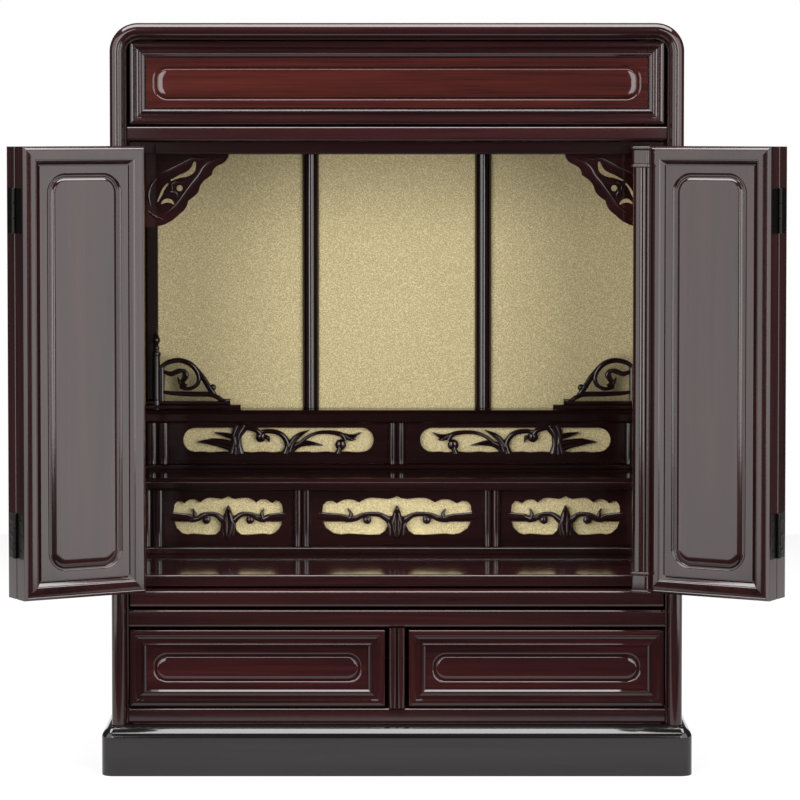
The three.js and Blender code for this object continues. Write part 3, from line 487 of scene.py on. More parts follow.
def curl(bm, x, z, radius, front, back, relief):
    """A round boss on a stem: a low dome with a turned edge."""
    turned(bm, [(radius, back), *arc(0, front, radius, -relief, 0, 80, 6)], (x, 0, z), (0, 1, 0), 20)


def turned(bm, profile, centre, axis, steps):
    """Turns a profile of (radius, height) about an axis through a centre, closed at both ends."""
    up = Vector(axis)
    side = Vector((1, 0, 0)) if abs(up.x) < 0.5 else Vector((0, 1, 0))
    corners = [bm.verts.new(Vector(centre) + side * max(r, 0.0005) + up * h) for r, h in profile]
    edges = [bm.edges.new(pair) for pair in zip(corners, corners[1:])]
    spin(bm, corners, edges, steps, centre, axis)
    for r, h in (profile[0], profile[-1]):
        if r > 0.001:
            level = (Vector(centre) + up * h).dot(up)
            loop = [e for e in bm.edges if e.is_boundary
                    and all(abs(v.co.dot(up) - level) < 0.001 for v in e.verts)
                    and all((v.co - Vector(centre)).length < abs(h) + r + 1 for v in e.verts)]
            bmesh.ops.edgeloop_fill(bm, edges=loop)


# Plinth: a base with round corners and a sloped top edge, open through its middle
def plinth():
    (x0, x1), (y0, y1), (z0, z1) = span("plinth")
    bm = bmesh.new()
    r = PLINTH_CORNER
    wall = PLINTH_WALL
    outside = [*arc(x1 - r, y0 + r, r, r, 270, 360, 8), *arc(x1 - r, y1 - r, r, r, 0, 90, 8),
               *arc(x0 + r, y1 - r, r, r, 90, 180, 8), *arc(x0 + r, y0 + r, r, r, 180, 270, 8)]
    inside = [(x0 + wall, y0 + wall), (x1 - wall, y0 + wall), (x1 - wall, y1 - wall),
              (x0 + wall, y1 - wall)]
    loops = []
    for points in (outside, inside):
        corners = [bm.verts.new((x, y, z0)) for x, y in points]
        loops.append([bm.edges.new(pair) for pair in zip(corners, corners[1:] + corners[:1])])
    filled = bmesh.ops.triangle_fill(bm, edges=loops[0] + loops[1], use_beauty=True)["geom"]
    grown = bmesh.ops.extrude_face_region(bm, geom=only(BMFace, filled))["geom"]
    bmesh.ops.translate(bm, verts=only(BMVert, grown), vec=(0, 0, z1 - z0))

    def at_opening(vert):
        return abs(vert.co.x) < x1 - wall + 1 and y0 + wall - 1 < vert.co.y < y1 - wall + 1

    top = [e for e in only(BMEdge, grown)
           if all(v.co.z > z1 - 0.01 for v in e.verts)
           and any(abs(f.normal.z) < 0.5 for f in e.link_faces)
           and not all(at_opening(v) for v in e.verts)]
    slope = soften(bm, top, PLINTH_EDGE, 1)
    rims = {e for f in slope for e in f.edges if abs(e.verts[0].co.z - e.verts[1].co.z) < 0.01}
    soften(bm, list(rims), PLINTH_EDGE_ROUND, 4)
    soften(bm, loops[0], PLINTH_FOOT_ROUND, 2)
    finish("plinth_base", bm, "cabinet", black_lacquer, ["plinth"])


# Case shell: sides and round-cornered top in one, with the floor behind the bottom rail
def case_shell():
    (x0, x1), (y0, y1), (z0, z1) = span("case_shell")
    floor_top = span("bottom_rail")[2][1]
    notch = span("front_moulding")[1][1] + 0.3
    bm = bmesh.new()
    inner = x1 - CASE_WALL
    r, q = CASE_CORNER, CASE_CORNER - CASE_WALL
    over = [(x1, z0), *arc(x1 - r, z1 - r, r, r, 0, 90, 14),
            *arc(x0 + r, z1 - r, r, r, 90, 180, 14), (x0, z0)]
    under = [(-inner, z0), (-inner, floor_top),
             *arc(q - inner, z1 - CASE_WALL - q, q, q, 180, 90, 10),
             *arc(inner - q, z1 - CASE_WALL - q, q, q, 90, 0, 10), (inner, floor_top), (inner, z0)]
    hoop = [bm.verts.new((x, y1, z)) for x, z in over + under]
    first = len(over)
    floor = [hoop[first], hoop[first + 1], hoop[-2], hoop[-1]]
    faces = [bm.faces.new(hoop), bm.faces.new(floor)]
    for face in faces:
        face.material_index = 1
    grown = bmesh.ops.extrude_face_region(bm, geom=faces)["geom"]
    bmesh.ops.translate(bm, verts=only(BMVert, grown), vec=(0, notch - y1, 0))
    front = [f for f in only(BMFace, grown) if len(f.verts) > 4]
    grown = bmesh.ops.extrude_face_region(bm, geom=front)["geom"]
    bmesh.ops.translate(bm, verts=only(BMVert, grown), vec=(0, y0 - notch, 0))
    case_piece("case_sides_and_top", bm, "case_shell")


# Front moulding: a bullnose on the front edges of the case and a thin lining inside it
def front_moulding():
    (x0, x1), (y0, y1), (z0, z1) = span("front_moulding")
    bm = bmesh.new()
    r = CASE_WALL / 2
    back = 1.7
    lining = CASE_WALL + LINING - PLATE_SHOW
    section = [(0, back), *arc(r, y0 + r, r, r, 180, 360, 14),
               (CASE_WALL, -0.1), (CASE_WALL + 0.35, -0.5), (lining - 0.4, -0.5), (lining, -0.1),
               (lining, y1), (CASE_WALL + 0.3, y1), (CASE_WALL + 0.3, back)]
    ring(bm, section, x1, z1, (0, 0), CASE_CORNER, 14)
    trim(bm, (0, 0, z0), (0, 0, -1))
    case_piece("front_bullnose", bm, "front_moulding")


def stepped_section(width, depth):
    """Moulding of the fascia and drawers: a soft crown outside, a steep drop to a wide hollow, and a
    raised inner edge with a chamfer that catches the light above a deep step."""
    edge = width - 1
    return [(0, depth), (0, 1.3), (0.3, 0.8), (0.9, 0.42), (1.8, 0.15), (2.8, 0.02), (3.8, 0.04),
            (4.8, 0.22), (5.9, 2.2), (7, 2.5), (8.4, 2.6), (edge - 2.9, 2.4), (edge - 2.5, 1.5),
            (edge - 1.9, 1.05), (edge - 1.3, 0.98), (edge, 2.1), (edge + 0.1, 3.4), (width, 3.4),
            (width, depth)]


# Fascia: a moulded frame with its upper corners rounded to the case, and a panel with a raised field
def fascia():
    (x0, x1), (y0, y1), (z0, z1) = span("fascia_frame")
    (a0, a1), (b0, b1), (c0, c1) = span("fascia_panel")
    middle = (0, (z0 + z1) / 2)
    bm = bmesh.new()
    width = x1 - a1 - 0.3
    ring(bm, stepped_section(width, y1), x1, (z1 - z0) / 2, middle)
    top = span("front_moulding")
    corner = CASE_CORNER - CASE_WALL - LINING - 0.3
    centre = (top[0][1] - CASE_CORNER, top[2][1] - CASE_CORNER)
    for side in (-1, 1):
        for angle in range(6, 90, 11):
            way = Vector((side * cos(radians(angle)), 0, sin(radians(angle))))
            trim(bm, Vector((side * centre[0], 0, centre[1])) + way * corner, way)
    case_piece("fascia_moulding", bm, "fascia_frame")
    panel = grooved_panel(a1, (c1 - c0) / 2, middle, b0, b1 - b0, 7.3, 10, DEEP_GROOVE)
    finish("fascia_raised_panel", panel, "cabinet", red_lacquer, ["fascia_panel"])


# Rails, boards and posts
def rails():
    for node, name, near in (("top_rail", "top_front_rail", RAIL_ROUND),
                             ("bottom_rail", "bottom_front_rail", RAIL_ROUND),
                             ("lintel", "door_stop_lintel", 1)):
        (x0, x1), (y0, y1), (z0, z1) = span(node)
        bm = bmesh.new()
        bar(bm, rounded(y0, y1, z0, z1, near), x0, x1)
        case_piece(name, bm, node)

    (x0, x1), (y0, y1), (z0, z1) = span("middle_rail")
    bm = bmesh.new()
    r = RAIL_ROUND
    bar(bm, [*arc(r, z0 + r, r, r, 270, 180, 5), *arc(r, z1 - r, r, r, 180, 90, 5),
             (y1, z1), (y1, z1 - 7), (RAIL_DEPTH, z1 - 7), (RAIL_DEPTH, z0)], x0, x1)
    case_piece("middle_rail_and_dust_board", bm, "middle_rail")

    (x0, x1), (y0, y1), (z0, z1) = span("tray")
    bm = bmesh.new()
    r = TRAY_ROUND
    bar(bm, [*arc(r, z0 + r, r, r, 270, 180, 6), *arc(r, z1 - r, r, r, 180, 90, 6),
             (RAIL_DEPTH, z1), (RAIL_DEPTH, z0 + 8), (y1, z0 + 8), (y1, z0)], x0, x1)
    finish("pull_out_tray", bm, "tray", dark_lacquer, ["tray"])

    (x0, x1), (y0, y1), (z0, z1) = span("drawer_post")
    bm = bmesh.new()
    bead = x1 / 2
    bar(bm, [*arc(-bead, y0 + bead, bead, bead, 180, 360, 10),
             *arc(bead, y0 + bead, bead, bead, 180, 360, 10),
             (x1, RAIL_DEPTH), (5, RAIL_DEPTH), (5, y1), (-5, y1), (-5, RAIL_DEPTH), (x0, RAIL_DEPTH)],
        z0, z1, "z")
    case_piece("drawer_post_and_divider", bm, "drawer_post")

    (x0, x1), (y0, y1), (z0, z1) = span("altar_floor")
    bm = bmesh.new()
    r = BOARD_ROUND
    bar(bm, [*arc(y0 + r, z0 + 1, r, 1, 270, 180, 3), *arc(y0 + r, z1 - r, r, r, 180, 90, 6),
             (y1, z1), (y1, z0)], x0, x1)
    case_piece("altar_floor_board", bm, "altar_floor")

    for level in ("lower", "upper"):
        (x0, x1), (y0, y1), (z0, z1) = span(f"{level}_step")
        bm = bmesh.new()
        bar(bm, [*arc(y0 + r, z0 + r, r, r, 270, 180, 6), (y0, z1 - 4.1), (y0 + 0.2, z1 - 3.5),
                 (y0 + 2.5, z1 - 0.78), (y0 + 3.1, z1 - 0.25), (y0 + 4.1, z1), (y1, z1), (y1, z0)],
            x0, x1)
        case_piece(f"{level}_step_board", bm, f"{level}_step")


# Risers: a base moulding and upright posts with two round beads each
def riser(level, base_height, posts):
    (x0, x1), (y0, y1), (z0, z1) = span(f"{level}_riser_frame")
    bm = bmesh.new()
    r = base_height / 2
    top = z0 + base_height
    bar(bm, [(y0, z0), *arc(y0 + r, top - r, r, r, 180, 90, 5), (y1, top), (y1, z0)], x0, x1)
    front = y1 - 8
    for middle, width in posts:
        bead = width / 4
        faces = [*arc(middle - bead, front + 3, bead, 3, 180, 360, 10),
                 *arc(middle + bead, front + 3, bead, 3, 180, 360, 10)]
        bar(bm, [*faces, (middle + width / 2, y1), (middle - width / 2, y1)], top, z1, "z")
    case_piece(f"{level}_riser_mouldings", bm, f"{level}_riser_frame")


# Cloud carving, drawn CLOUD_WIDTH wide and 33 high round its middle: the edge of its right half
CLOUD = [
    [(0, 17.4), (3.4, 15.6), (8, 14.6)],
    [(8, 14.6), (16, 15.5), (25, 15.4), (32.6, 11.6)],
    [(32.6, 11.6), (36.5, 13.8), (42, 14.4), (47, 13.2), (51, 10.8)],
    [(51, 10.8), (54.5, 12.9), (58.5, 13), (62, 11), (63.6, 6.5), (63.7, 0), (62.6, -6.5), (59, -11.4),
     (53, -14.8), (48, -15.6)],
    [(48, -15.6), (42, -14.9), (36, -15.2), (27, -15.6), (18, -16.2), (12.5, -14.6), (9, -11),
     (7.8, -7), (8.6, -3), (10.5, 0)],
]


def cloud_carving(name, node, margin, height_middle):
    (x0, x1), (y0, y1), (z0, z1) = span(node)
    across = (x1 - x0 - 2 * margin) / CLOUD_WIDTH
    centre = (x0 + x1) / 2

    def at(points, side=1):
        return [(centre + side * x * across, height_middle + z) for x, z in points]

    half = [p for part in CLOUD for p in smooth_line(part, 8)[:-1]] + [CLOUD[-1][-1]]
    opening = at(half)[1:] + at(half, -1)[::-1]
    bm = bmesh.new()
    outside = [(x0, z0), (x1, z0), (x1, z1), (x0, z1)]
    pierced(bm, outside, [opening], y0, y1, 0.7)
    front, back = y0 + 0.9, y1 - 0.5
    for side in (-1, 1):
        stem(bm, at([(67, -0.6), (56, -1.2), (47, -1.6), (41, -2.9)], side), [8, 7.4, 6.6, 4.6],
             front, back, 1.6, 14)
        stem(bm, at([(44, -3.4), (36, -2.3), (30, 0.3), (22, 1.6), (14, 0.8), (7, -3.4)], side),
             [4.6, 5, 4.4, 3.8, 4.2, 6], front, back, 1.6, 22)
        stem(bm, at([(40, -2.4), (39, 1.2), (41.6, 6.6)], side), [5, 3.6, 0.5], front, back, 1.4, 10)
        stem(bm, at([(29, 1.2), (25, 0.6), (23.6, -1.8)], side), [2.4, 3, 3], front, back, 1.2, 8)
        curl(bm, *at([(25.4, -3.4)], side)[0], 3.5, front, back, 1.6)
        for lean in (2.2, 5.6):
            stem(bm, at([(lean, -17), (lean + 0.8, -9), (lean + 2.6, -3)], side), [2.4, 3.4, 1.4],
                 front, back, 1.2, 8)
    stem(bm, at([(0, -18), (0, -12), (0, -5), (0, 3), (0, 9.4)]), [4, 9.5, 11.5, 6.6, 0.4],
         front - 0.4, back, 2, 18, RIDGED)
    case_piece(name, bm, node)


# Vine carving, drawn twice VINE_HALF wide and 21 high round its middle, its left end outwards:
# the points, widths and section of each stem and leaf
VINE = [
    ([(-71, -2), (-58, -1.8), (-46, -4), (-37, -7)], [0.4, 6.2, 8.4, 8.4], RIDGED),
    ([(-55.5, 6.4), (-46, 4.2), (-36, 1.6)], [0.4, 4.4, 5], RIDGED),
    ([(-40, -12), (-38.5, -4), (-38.5, 4), (-35, 12)], [9, 5.5, 5, 8], ROUND),
    ([(-34, -12), (-34.6, -4), (-34, 4), (-29, 12)], [9, 5, 5, 8], ROUND),
    ([(-36, 11.5), (-26, 10.4), (-19, 8), (-16, 4.5)], [7, 4.6, 4.4, 5], ROUND),
    ([(-15, 7), (-8, 7.4), (0, 6), (5.4, 1.6), (7.8, -5), (6, -12)], [3, 4, 4.4, 4.8, 5, 7], ROUND),
    ([(-14, 3), (-9.6, 2), (-8, -2.4)], [3, 3.6, 0.5], ROUND),
    ([(9, -10), (12, -2), (18, 4), (27, 8.4)], [5, 5.4, 4.4, 0.4], RIDGED),
    ([(11, -10), (17, -4.6), (26, -3), (39, -5)], [5, 5.6, 4.8, 0.4], RIDGED),
    ([(9, -6), (14, 1.6), (19, 5)], [4, 4, 1], ROUND),
    ([(18, -3.4), (26, 2.8), (35, 6.2), (46, 6.4), (55, 4.4), (58.4, -1)],
     [3, 3, 3.2, 3.6, 4.4, 4.4], ROUND),
    ([(50, 6), (58, 3.4), (65, 3), (72, 6.4)], [3.4, 4.4, 4, 0.4], RIDGED),
    ([(58, 3.6), (63, 0.6), (67.5, 0.2)], [4, 3.6, 0.4], ROUND),
    ([(53, -2), (53.4, -7), (52, -12)], [3, 4.6, 6], ROUND),
]


def vine_carving(name, side):
    node = f"upper_carving_{name}"
    (x0, x1), (y0, y1), (z0, z1) = span(node)
    middle = span("lower_step")[2][1] + VINE_HEIGHT
    centre = (x0 + x1) / 2
    half = (x1 - x0) / 2 - 12.2
    r = VINE_RADIUS
    wave = smooth_line([(centre + (half - r) * k / 12, middle - r + 0.35 * sin(k * 2.1))
                        for k in range(-12, 13)], 60)
    opening = [*wave, *arc(centre + half - r, middle, r, r, -84, 90, 14),
               *arc(centre + r - half, middle, r, r, 90, 264, 14)]
    bm = bmesh.new()
    pierced(bm, [(x0, z0), (x1, z0), (x1, z1), (x0, z1)], [opening], y0, y1, 0.7)
    front, back = y0 + 0.9, y1 - 0.5

    def at(points):
        return [(centre - side * x * half / VINE_HALF, middle + z) for x, z in points]

    for points, widths, section in VINE:
        stem(bm, at(points), widths, front, back, 1.7, 18, section)
    curl(bm, *at([(-15.5, 2.4)])[0], 4.6, front, back, 1.9)
    curl(bm, *at([(54.2, -4.4)])[0], 4.8, front, back, 1.9)
    case_piece(f"vine_carving_{name}", bm, node)


# Back frame: two half-round posts, two corner posts and a head rail in front of the gold back
def back_frame():
    (x0, x1), (y0, y1), (z0, z1) = span("back_frame")
    bm = bmesh.new()
    r = POST_RADIUS
    top = z1 - HEAD_RAIL
    bar(bm, rounded(y0 + 1, y1, top, z1, 0.8), x0, x1)
    for side in (-1, 1):
        middle = side * POST_X
        bar(bm, [*arc(middle, y0 + r, r, r, 180, 360, 16), (middle + r, y1), (middle - r, y1)],
            z0, top, "z")
        low, high = sorted((side * x1, side * (x1 - CORNER_POST)))
        bar(bm, [(low, y0 + 0.8), (low + 0.8, y0), (high - 0.8, y0), (high, y0 + 0.8), (high, y1),
                 (low, y1)], z0, top, "z")
    case_piece("gold_back_frame", bm, "back_frame")


# Spandrel: a carved corner piece, drawn 80 wide from the wall inward and down. First its lobed edge,
# then the points, widths and steps of each hole, then the points and widths of each raised stem
LOBES = [
    [(80.4, 0), (80.2, 2.6), (77.5, 6.4), (73.8, 8.7)],
    [(73.8, 8.7), (70.3, 10.4), (67.6, 13.6), (66.6, 17.4)],
    [(66.6, 17.4), (63.6, 19.4), (59.6, 22.6), (57, 26.4)],
    [(57, 26.4), (55.6, 31), (52, 35), (47.6, 38)],
    [(47.6, 38), (46.2, 42.4), (43.6, 46.4), (39.6, 49.6)],
    [(39.6, 49.6), (36, 53), (31, 56.4), (24, 58.8), (16, 59.6), (0, 59.7)],
]
SPANDREL_HOLES = [
    ([(52.8, 6.6), (51, 13), (46.4, 16.6), (40, 18.6), (33, 21.8)], [1.4, 4.4, 3.8, 2.2, 0.8], 14),
    ([(31, 24.2), (27.6, 28.3), (25.4, 33), (22.5, 39)], [1.2, 1.9, 1.8, 1], 8),
    ([(36, 41.4), (33, 38.6), (29, 38.2), (25.4, 40.6)], [0.8, 3, 3.2, 1], 8),
]
SPANDREL_RELIEF = [
    ([(74, 3), (66, 6), (60, 11), (56, 18), (50, 25), (44, 33), (37, 42), (28, 49)],
     [0.5, 2.6, 3, 3.4, 3.4, 3.4, 3, 0.6]),
    ([(66, 2.4), (58, 4), (52, 3.4), (44, 7), (34, 12), (24, 16)], [0.5, 2.2, 2.4, 2.6, 2.6, 0.5]),
    ([(48, 22), (43, 23), (38, 22.6), (34, 25.4), (34.4, 30)], [0.5, 2, 2.4, 2.6, 0.8]),
    ([(30, 34), (33, 31), (37, 31.6), (38.6, 35)], [0.6, 2.2, 2.6, 0.6]),
    ([(22, 20), (17, 26), (15, 34), (17, 43)], [0.5, 2.8, 2.8, 0.5]),
    ([(14, 46), (20, 51), (27, 53.4)], [0.5, 2.6, 0.5]),
]


def outlined_stem(points, widths, steps):
    """The outline of a stem, as a closed list of places."""
    left, right = [], []
    for i, (spot, way) in enumerate(curve(points, steps)):
        along = i / steps * (len(widths) - 1)
        k = min(int(along), len(widths) - 2)
        half = (widths[k] + (widths[k + 1] - widths[k]) * (along - k)) / 2
        left.append((spot.x - way.y * half, spot.y + way.x * half))
        right.insert(0, (spot.x + way.y * half, spot.y - way.x * half))
    return left + right


def spandrel(name, side):
    node = f"spandrel_{name}"
    (x0, x1), (y0, y1), (z0, z1) = span(node)
    wall = side * max(abs(x0), abs(x1))

    def at(points):
        return [(side * (JAMB_X - x), z1 - z) for x, z in points]

    edge = [p for part in LOBES for p in smooth_line(part, 6)[:-1]]
    outside = [*at(edge), (wall, at([LOBES[-1][-1]])[0][1]), (wall, z1)]
    dot = at(arc(40.4, 28, 2.5, 2.5, 0, 330, 11))
    holes = [*(at(outlined_stem(*hole)) for hole in SPANDREL_HOLES), dot]
    bm = bmesh.new()
    pierced(bm, outside, holes, y0 + 1.4, y1, 0.6)
    for points, widths in SPANDREL_RELIEF:
        stem(bm, at(points), widths, y0 + 1.4, y0 + 2.4, 1.2, 18)
    finish(f"carved_spandrel_{name}", bm, "cabinet", deep_red_and_shade_lacquer, [node])


# Scroll rail: a stepped base, a turned newel and a pierced scroll, drawn 81 long from the wall inward.
# First the scroll's stems, then the newel's profile of (radius, height)
SCROLL = [
    ([(12, 6), (12, 20), (12, 36.5)], [5.2, 5.2, 5.2], ROUND),
    ([(10, 34.6), (15, 39.6), (22, 42.2), (29, 42.6), (37, 39.6), (42.6, 33.6), (44.6, 26.6), (42, 20.6),
      (35, 17.8), (28, 19.4)], [3.4, 4, 4.4, 4.4, 4.6, 4.4, 4, 3.6, 3.2, 3], ROUND),
    ([(13, 33.4), (20, 31), (27, 33.4), (33, 34)], [2.6, 4.4, 4.6, 2], ROUND),
    ([(31.4, 34), (33, 29.6), (30.6, 24.6), (29.4, 19)], [3.4, 6, 4.4, 4], RIDGED),
    ([(26, 28), (28.6, 23), (34, 20.4)], [0.6, 4, 3], ROUND),
    ([(41.4, 36.4), (48, 27.6), (53, 19.6), (57.5, 13)], [3.6, 4.8, 4.8, 5], RIDGED),
    ([(11, 15.8), (20, 14.2), (36, 13.4), (52, 13.2), (60, 12)], [2.4, 3.6, 4.4, 4.6, 3.6], ROUND),
    ([(54, 13), (61, 10.4), (66, 7.4), (72, 8.6)], [3, 4.2, 3.8, 1.2], ROUND),
]
NEWEL = [(4.6, 0), (4.6, 1.4), (4.2, 2), (4.25, 7.4), (3.7, 8.4), (3.4, 9.6), (3.4, 46.6), (3.9, 47.4),
         (4.1, 48.4), (3.9, 49.4), (2.6, 50.4), (2.2, 52), (3, 53.2), (2.9, 54.2), (1.8, 55.4),
         (2.2, 56.8), (3.3, 59), (3.5, 60.4), (3.1, 62), (2.2, 64), (1.4, 66.4), (0.8, 69),
         (0.3, 70.6), (0, 71)]


def scroll_rail(name, side):
    node = f"scroll_rail_{name}"
    (x0, x1), (y0, y1), (z0, z1) = span(node)
    wall = side * max(abs(x0), abs(x1))
    end = side * min(abs(x0), abs(x1))
    bm = bmesh.new()
    bar(bm, rounded(y0, y1, z0, z0 + 4.2, 1.1, steps=3), wall, end)
    bar(bm, rounded(y0 + 1, y1 - 1, z0 + 4.2, z0 + 7.3, 1, steps=3), wall, end + side * 9)

    def at(points):
        return [(side * (JAMB_X - x), z0 + z) for x, z in points]

    for points, widths, section in SCROLL:
        stem(bm, at(points), widths, y0 + 3.4, y0 + 7, 1.5, 26, section)
    curl(bm, *at([(56.6, 19)])[0], 3, y0 + 3.4, y0 + 7, 1.6)
    turned(bm, NEWEL, (side * (JAMB_X - 7.5), y0 + 4.6, z0), (0, 0, 1), 20)
    case_piece(f"scroll_rail_and_newel_{name}", bm, node)


# Drawer fronts: a stepped moulding round a panel with a raised field
def drawer_front(name):
    node = f"drawer_front_{name}"
    (x0, x1), (y0, y1), (z0, z1) = span(node)
    half_x, half_z = (x1 - x0) / 2, (z1 - z0) / 2
    middle = ((x0 + x1) / 2, (z0 + z1) / 2)
    bm = grooved_panel(half_x - DRAWER_PANEL_INSET, half_z - DRAWER_PANEL_INSET, middle, y0 + 2.6, 8,
                       6.6, 10, DEEP_GROOVE)
    ring(bm, stepped_section(DRAWER_FRAME, y1), half_x, half_z, middle)
    # The drawer fronts take the darker red lacquer, whose extra darkness is painted shade for the dimmer
    # light low on the case.
    finish(f"moulded_drawer_front_{name}", bm, f"drawer_{name}", deep_red_and_shade_lacquer, [node])


# Doors
def leaf_turn(side, inner):
    """How a leaf that is drawn closed goes to its open, folded rest."""
    def about(x, y, degrees):
        spot = Matrix.Translation((x, y, 0))
        return spot @ Matrix.Rotation(radians(degrees), 4, "Z") @ spot.inverted()

    opened = about(side * JAMB_PIN[0], JAMB_PIN[1], side * OPEN_ANGLE)
    folded = about(side * FOLD_PIN[0], FOLD_PIN[1], -side * FOLD_ANGLE)
    return opened @ folded if inner else opened


def door_section():
    """Moulding of the door frames: a chamfered outside edge with a fine lip, a crown that leans
    outwards, a second fine lip and a slope down to the panel."""
    back = LEAF_THICKNESS
    crown = [(2.9 + 0.7 * i, 0.0145 * (7 - 0.7 * i) ** 2 + 0.02) for i in range(11)]
    return [(0.5, back), (0, back - 0.5), (0, 2.3), (0.2, 1.9), (1.9, 0.25), (2.2, 0.1), (2.5, 0.3),
            (2.6, 0.7), *crown, (10.3, 0.3), (10.8, 0.25), (11.2, 0.5), (13.8, 3.3), (14.1, 3.6),
            (LEAF_FRAME, 3.6), (LEAF_FRAME, back)]


def leaf(name, side, inner):
    """One door leaf, drawn closed: its mitred frame and its panel."""
    which = "inner" if inner else "outer"
    edge = INNER_EDGE if inner else OUTER_EDGE
    z0, z1 = span(f"{name}_{which}_door_frame")[2]
    half_z = (z1 - z0) / 2
    middle = (side * (edge - LEAF_WIDTH / 2), (z0 + z1) / 2)
    body = f"{name}_{which}_door"
    turn = leaf_turn(side, inner)
    bm = bmesh.new()
    ring(bm, door_section(), LEAF_WIDTH / 2 - PLATE_SHOW, half_z, middle)
    finish(f"{name}_{which}_leaf_frame", bm, body, dark_lacquer, [f"{body}_frame"], turn)
    panel = grooved_panel(LEAF_WIDTH / 2 - LEAF_PANEL_INSET, half_z - LEAF_PANEL_INSET, middle, 2.4, 8,
                          9, 13, DOUBLE_GROOVE)
    for face in panel.faces:
        face.material_index = 1
    finish(f"{name}_{which}_leaf_panel", panel, body, dark_lacquer, [f"{body}_panel"], turn)


# Meeting strip: a broad round and a fine bead, with a lipped cap at each end
def meeting_strip():
    z0, z1 = span("meeting_strip")[2]
    start_x = INNER_EDGE - LEAF_WIDTH - STRIP_OVERHANG
    back = -STRIP_CLEARANCE
    front = back - STRIP_PROUD
    wide, narrow = STRIP_WIDTH * 0.42, STRIP_WIDTH * 0.08
    bm = bmesh.new()
    end_x = start_x + STRIP_WIDTH
    rounds = [*arc(start_x + wide, front + 5, wide, 5, 180, 360, 14),
              *arc(end_x - narrow, front + 2.4, narrow, 1.3, 180, 360, 6)]
    bar(bm, [*rounds, (end_x, back), (start_x, back)], z0 + STRIP_CAP, z1 - STRIP_CAP, "z")
    turn = leaf_turn(1, True)
    body = "right_inner_door"
    finish("reeded_meeting_strip", bm, body, dark_lacquer, ["meeting_strip"], turn)
    levels = [0, CAP_LIP, STRIP_CAP - CAP_LIP, STRIP_CAP]
    for end, low in (("lower", z0), ("upper", z1 - STRIP_CAP)):
        bm = bmesh.new()
        for start_z, end_z, less in zip(levels, levels[1:], (0, CAP_HOLLOW, 0)):
            a, b = start_x - 0.6 + less, end_x + 0.6 - less
            y = front + less + 2.4
            bar(bm, [*arc(a + 3, y, 3, 2.4, 180, 270, 6), *arc(b - 3, y, 3, 2.4, 270, 360, 6),
                     (b, back), (a, back)], low + start_z, low + end_z, "z")
        bm.normal_update()
        rims = [e for e in bm.edges if abs(e.verts[0].co.z - e.verts[1].co.z) < 0.001
                and min(v.co.y for v in e.verts) < back - 0.1]
        soften(bm, rims, 0.8, 3, clamp=True)
        finish(f"strip_cap_{end}", bm, body, dark_lacquer, (), turn)


# Hinges: a thin plate with three screws, and its knuckles on the pin
def hinge_half(name, node, body, pin, radius, face_x, way, reach, middle, centre_half, turn):
    bm = bmesh.new()
    low, high = middle - HINGE_LENGTH / 2, middle + HINGE_LENGTH / 2
    y0, y1 = reach
    x0, x1 = sorted((face_x, face_x + way * PLATE_THICKNESS))
    r = 1
    outline = [*arc(y0 + r, low + r, r, r, 180, 270, 3), *arc(y1 - r, low + r, r, r, 270, 360, 3),
               *arc(y1 - r, high - r, r, r, 0, 90, 3), *arc(y0 + r, high - r, r, r, 90, 180, 3)]
    bar(bm, outline, x0, x1)
    sixth = HINGE_LENGTH / 6
    spans = [(-sixth + KNUCKLE_GAP, sixth - KNUCKLE_GAP)] if centre_half else [
        (-HINGE_LENGTH / 2, -sixth - KNUCKLE_GAP), (sixth + KNUCKLE_GAP, HINGE_LENGTH / 2)]
    end_radius = radius - KNUCKLE_ROUND
    for start_z, end_z in spans:
        turned(bm, [(end_radius, start_z), (radius, start_z + KNUCKLE_ROUND),
                    (radius, end_z - KNUCKLE_ROUND), (end_radius, end_z)],
               (pin[0], pin[1], middle), (0, 0, 1), 20)
    screw_y = (y0 + y1) / 2 + (-1 if abs(pin[1] - y1) < abs(pin[1] - y0) else 1) * 1.5
    for offset in (-SCREW_SPACING, 0, SCREW_SPACING):
        turned(bm, SCREW_HEAD, (face_x, screw_y, middle + offset), (-way, 0, 0), 16)
    finish(name, bm, body, steel, [node], turn)


def hinges(name, side):
    """The two jamb hinges and two fold hinges of one side."""
    z0, z1 = span(f"{name}_outer_door_frame")[2]
    jamb = (side * JAMB_PIN[0], JAMB_PIN[1])
    fold = (side * FOLD_PIN[0], FOLD_PIN[1])
    jamb_reach = (JAMB_PIN[1], PLATE_REACH)
    fold_reach = (LEAF_THICKNESS - PLATE_REACH, LEAF_THICKNESS)
    outer, inner = leaf_turn(side, False), leaf_turn(side, True)
    for level, middle in (("lower", z0 + HINGE_FROM_END), ("upper", z1 - HINGE_FROM_END)):
        for plate, node, body, pin, radius, face_x, way, reach, centre_half, turn in (
                ("jamb_plate", "jamb_hinge_fixed", "cabinet", jamb, JAMB_PIN_RADIUS,
                 side * JAMB_X, side, jamb_reach, True, Matrix()),
                ("door_plate", "jamb_hinge_moving", f"{name}_outer_door", jamb, JAMB_PIN_RADIUS,
                 side * OUTER_EDGE, -side, jamb_reach, False, outer),
                ("fold_plate_outer", "fold_hinge_fixed", f"{name}_outer_door", fold, FOLD_PIN_RADIUS,
                 side * (OUTER_EDGE - LEAF_WIDTH), side, fold_reach, True, outer),
                ("fold_plate_inner", "fold_hinge_moving", f"{name}_inner_door", fold, FOLD_PIN_RADIUS,
                 side * INNER_EDGE, -side, fold_reach, False, inner)):
            hinge_half(f"{name}_{level}_{plate}", f"{name}_{level}_{node}", body, pin, radius, face_x,
                       way, reach, middle, centre_half, turn)


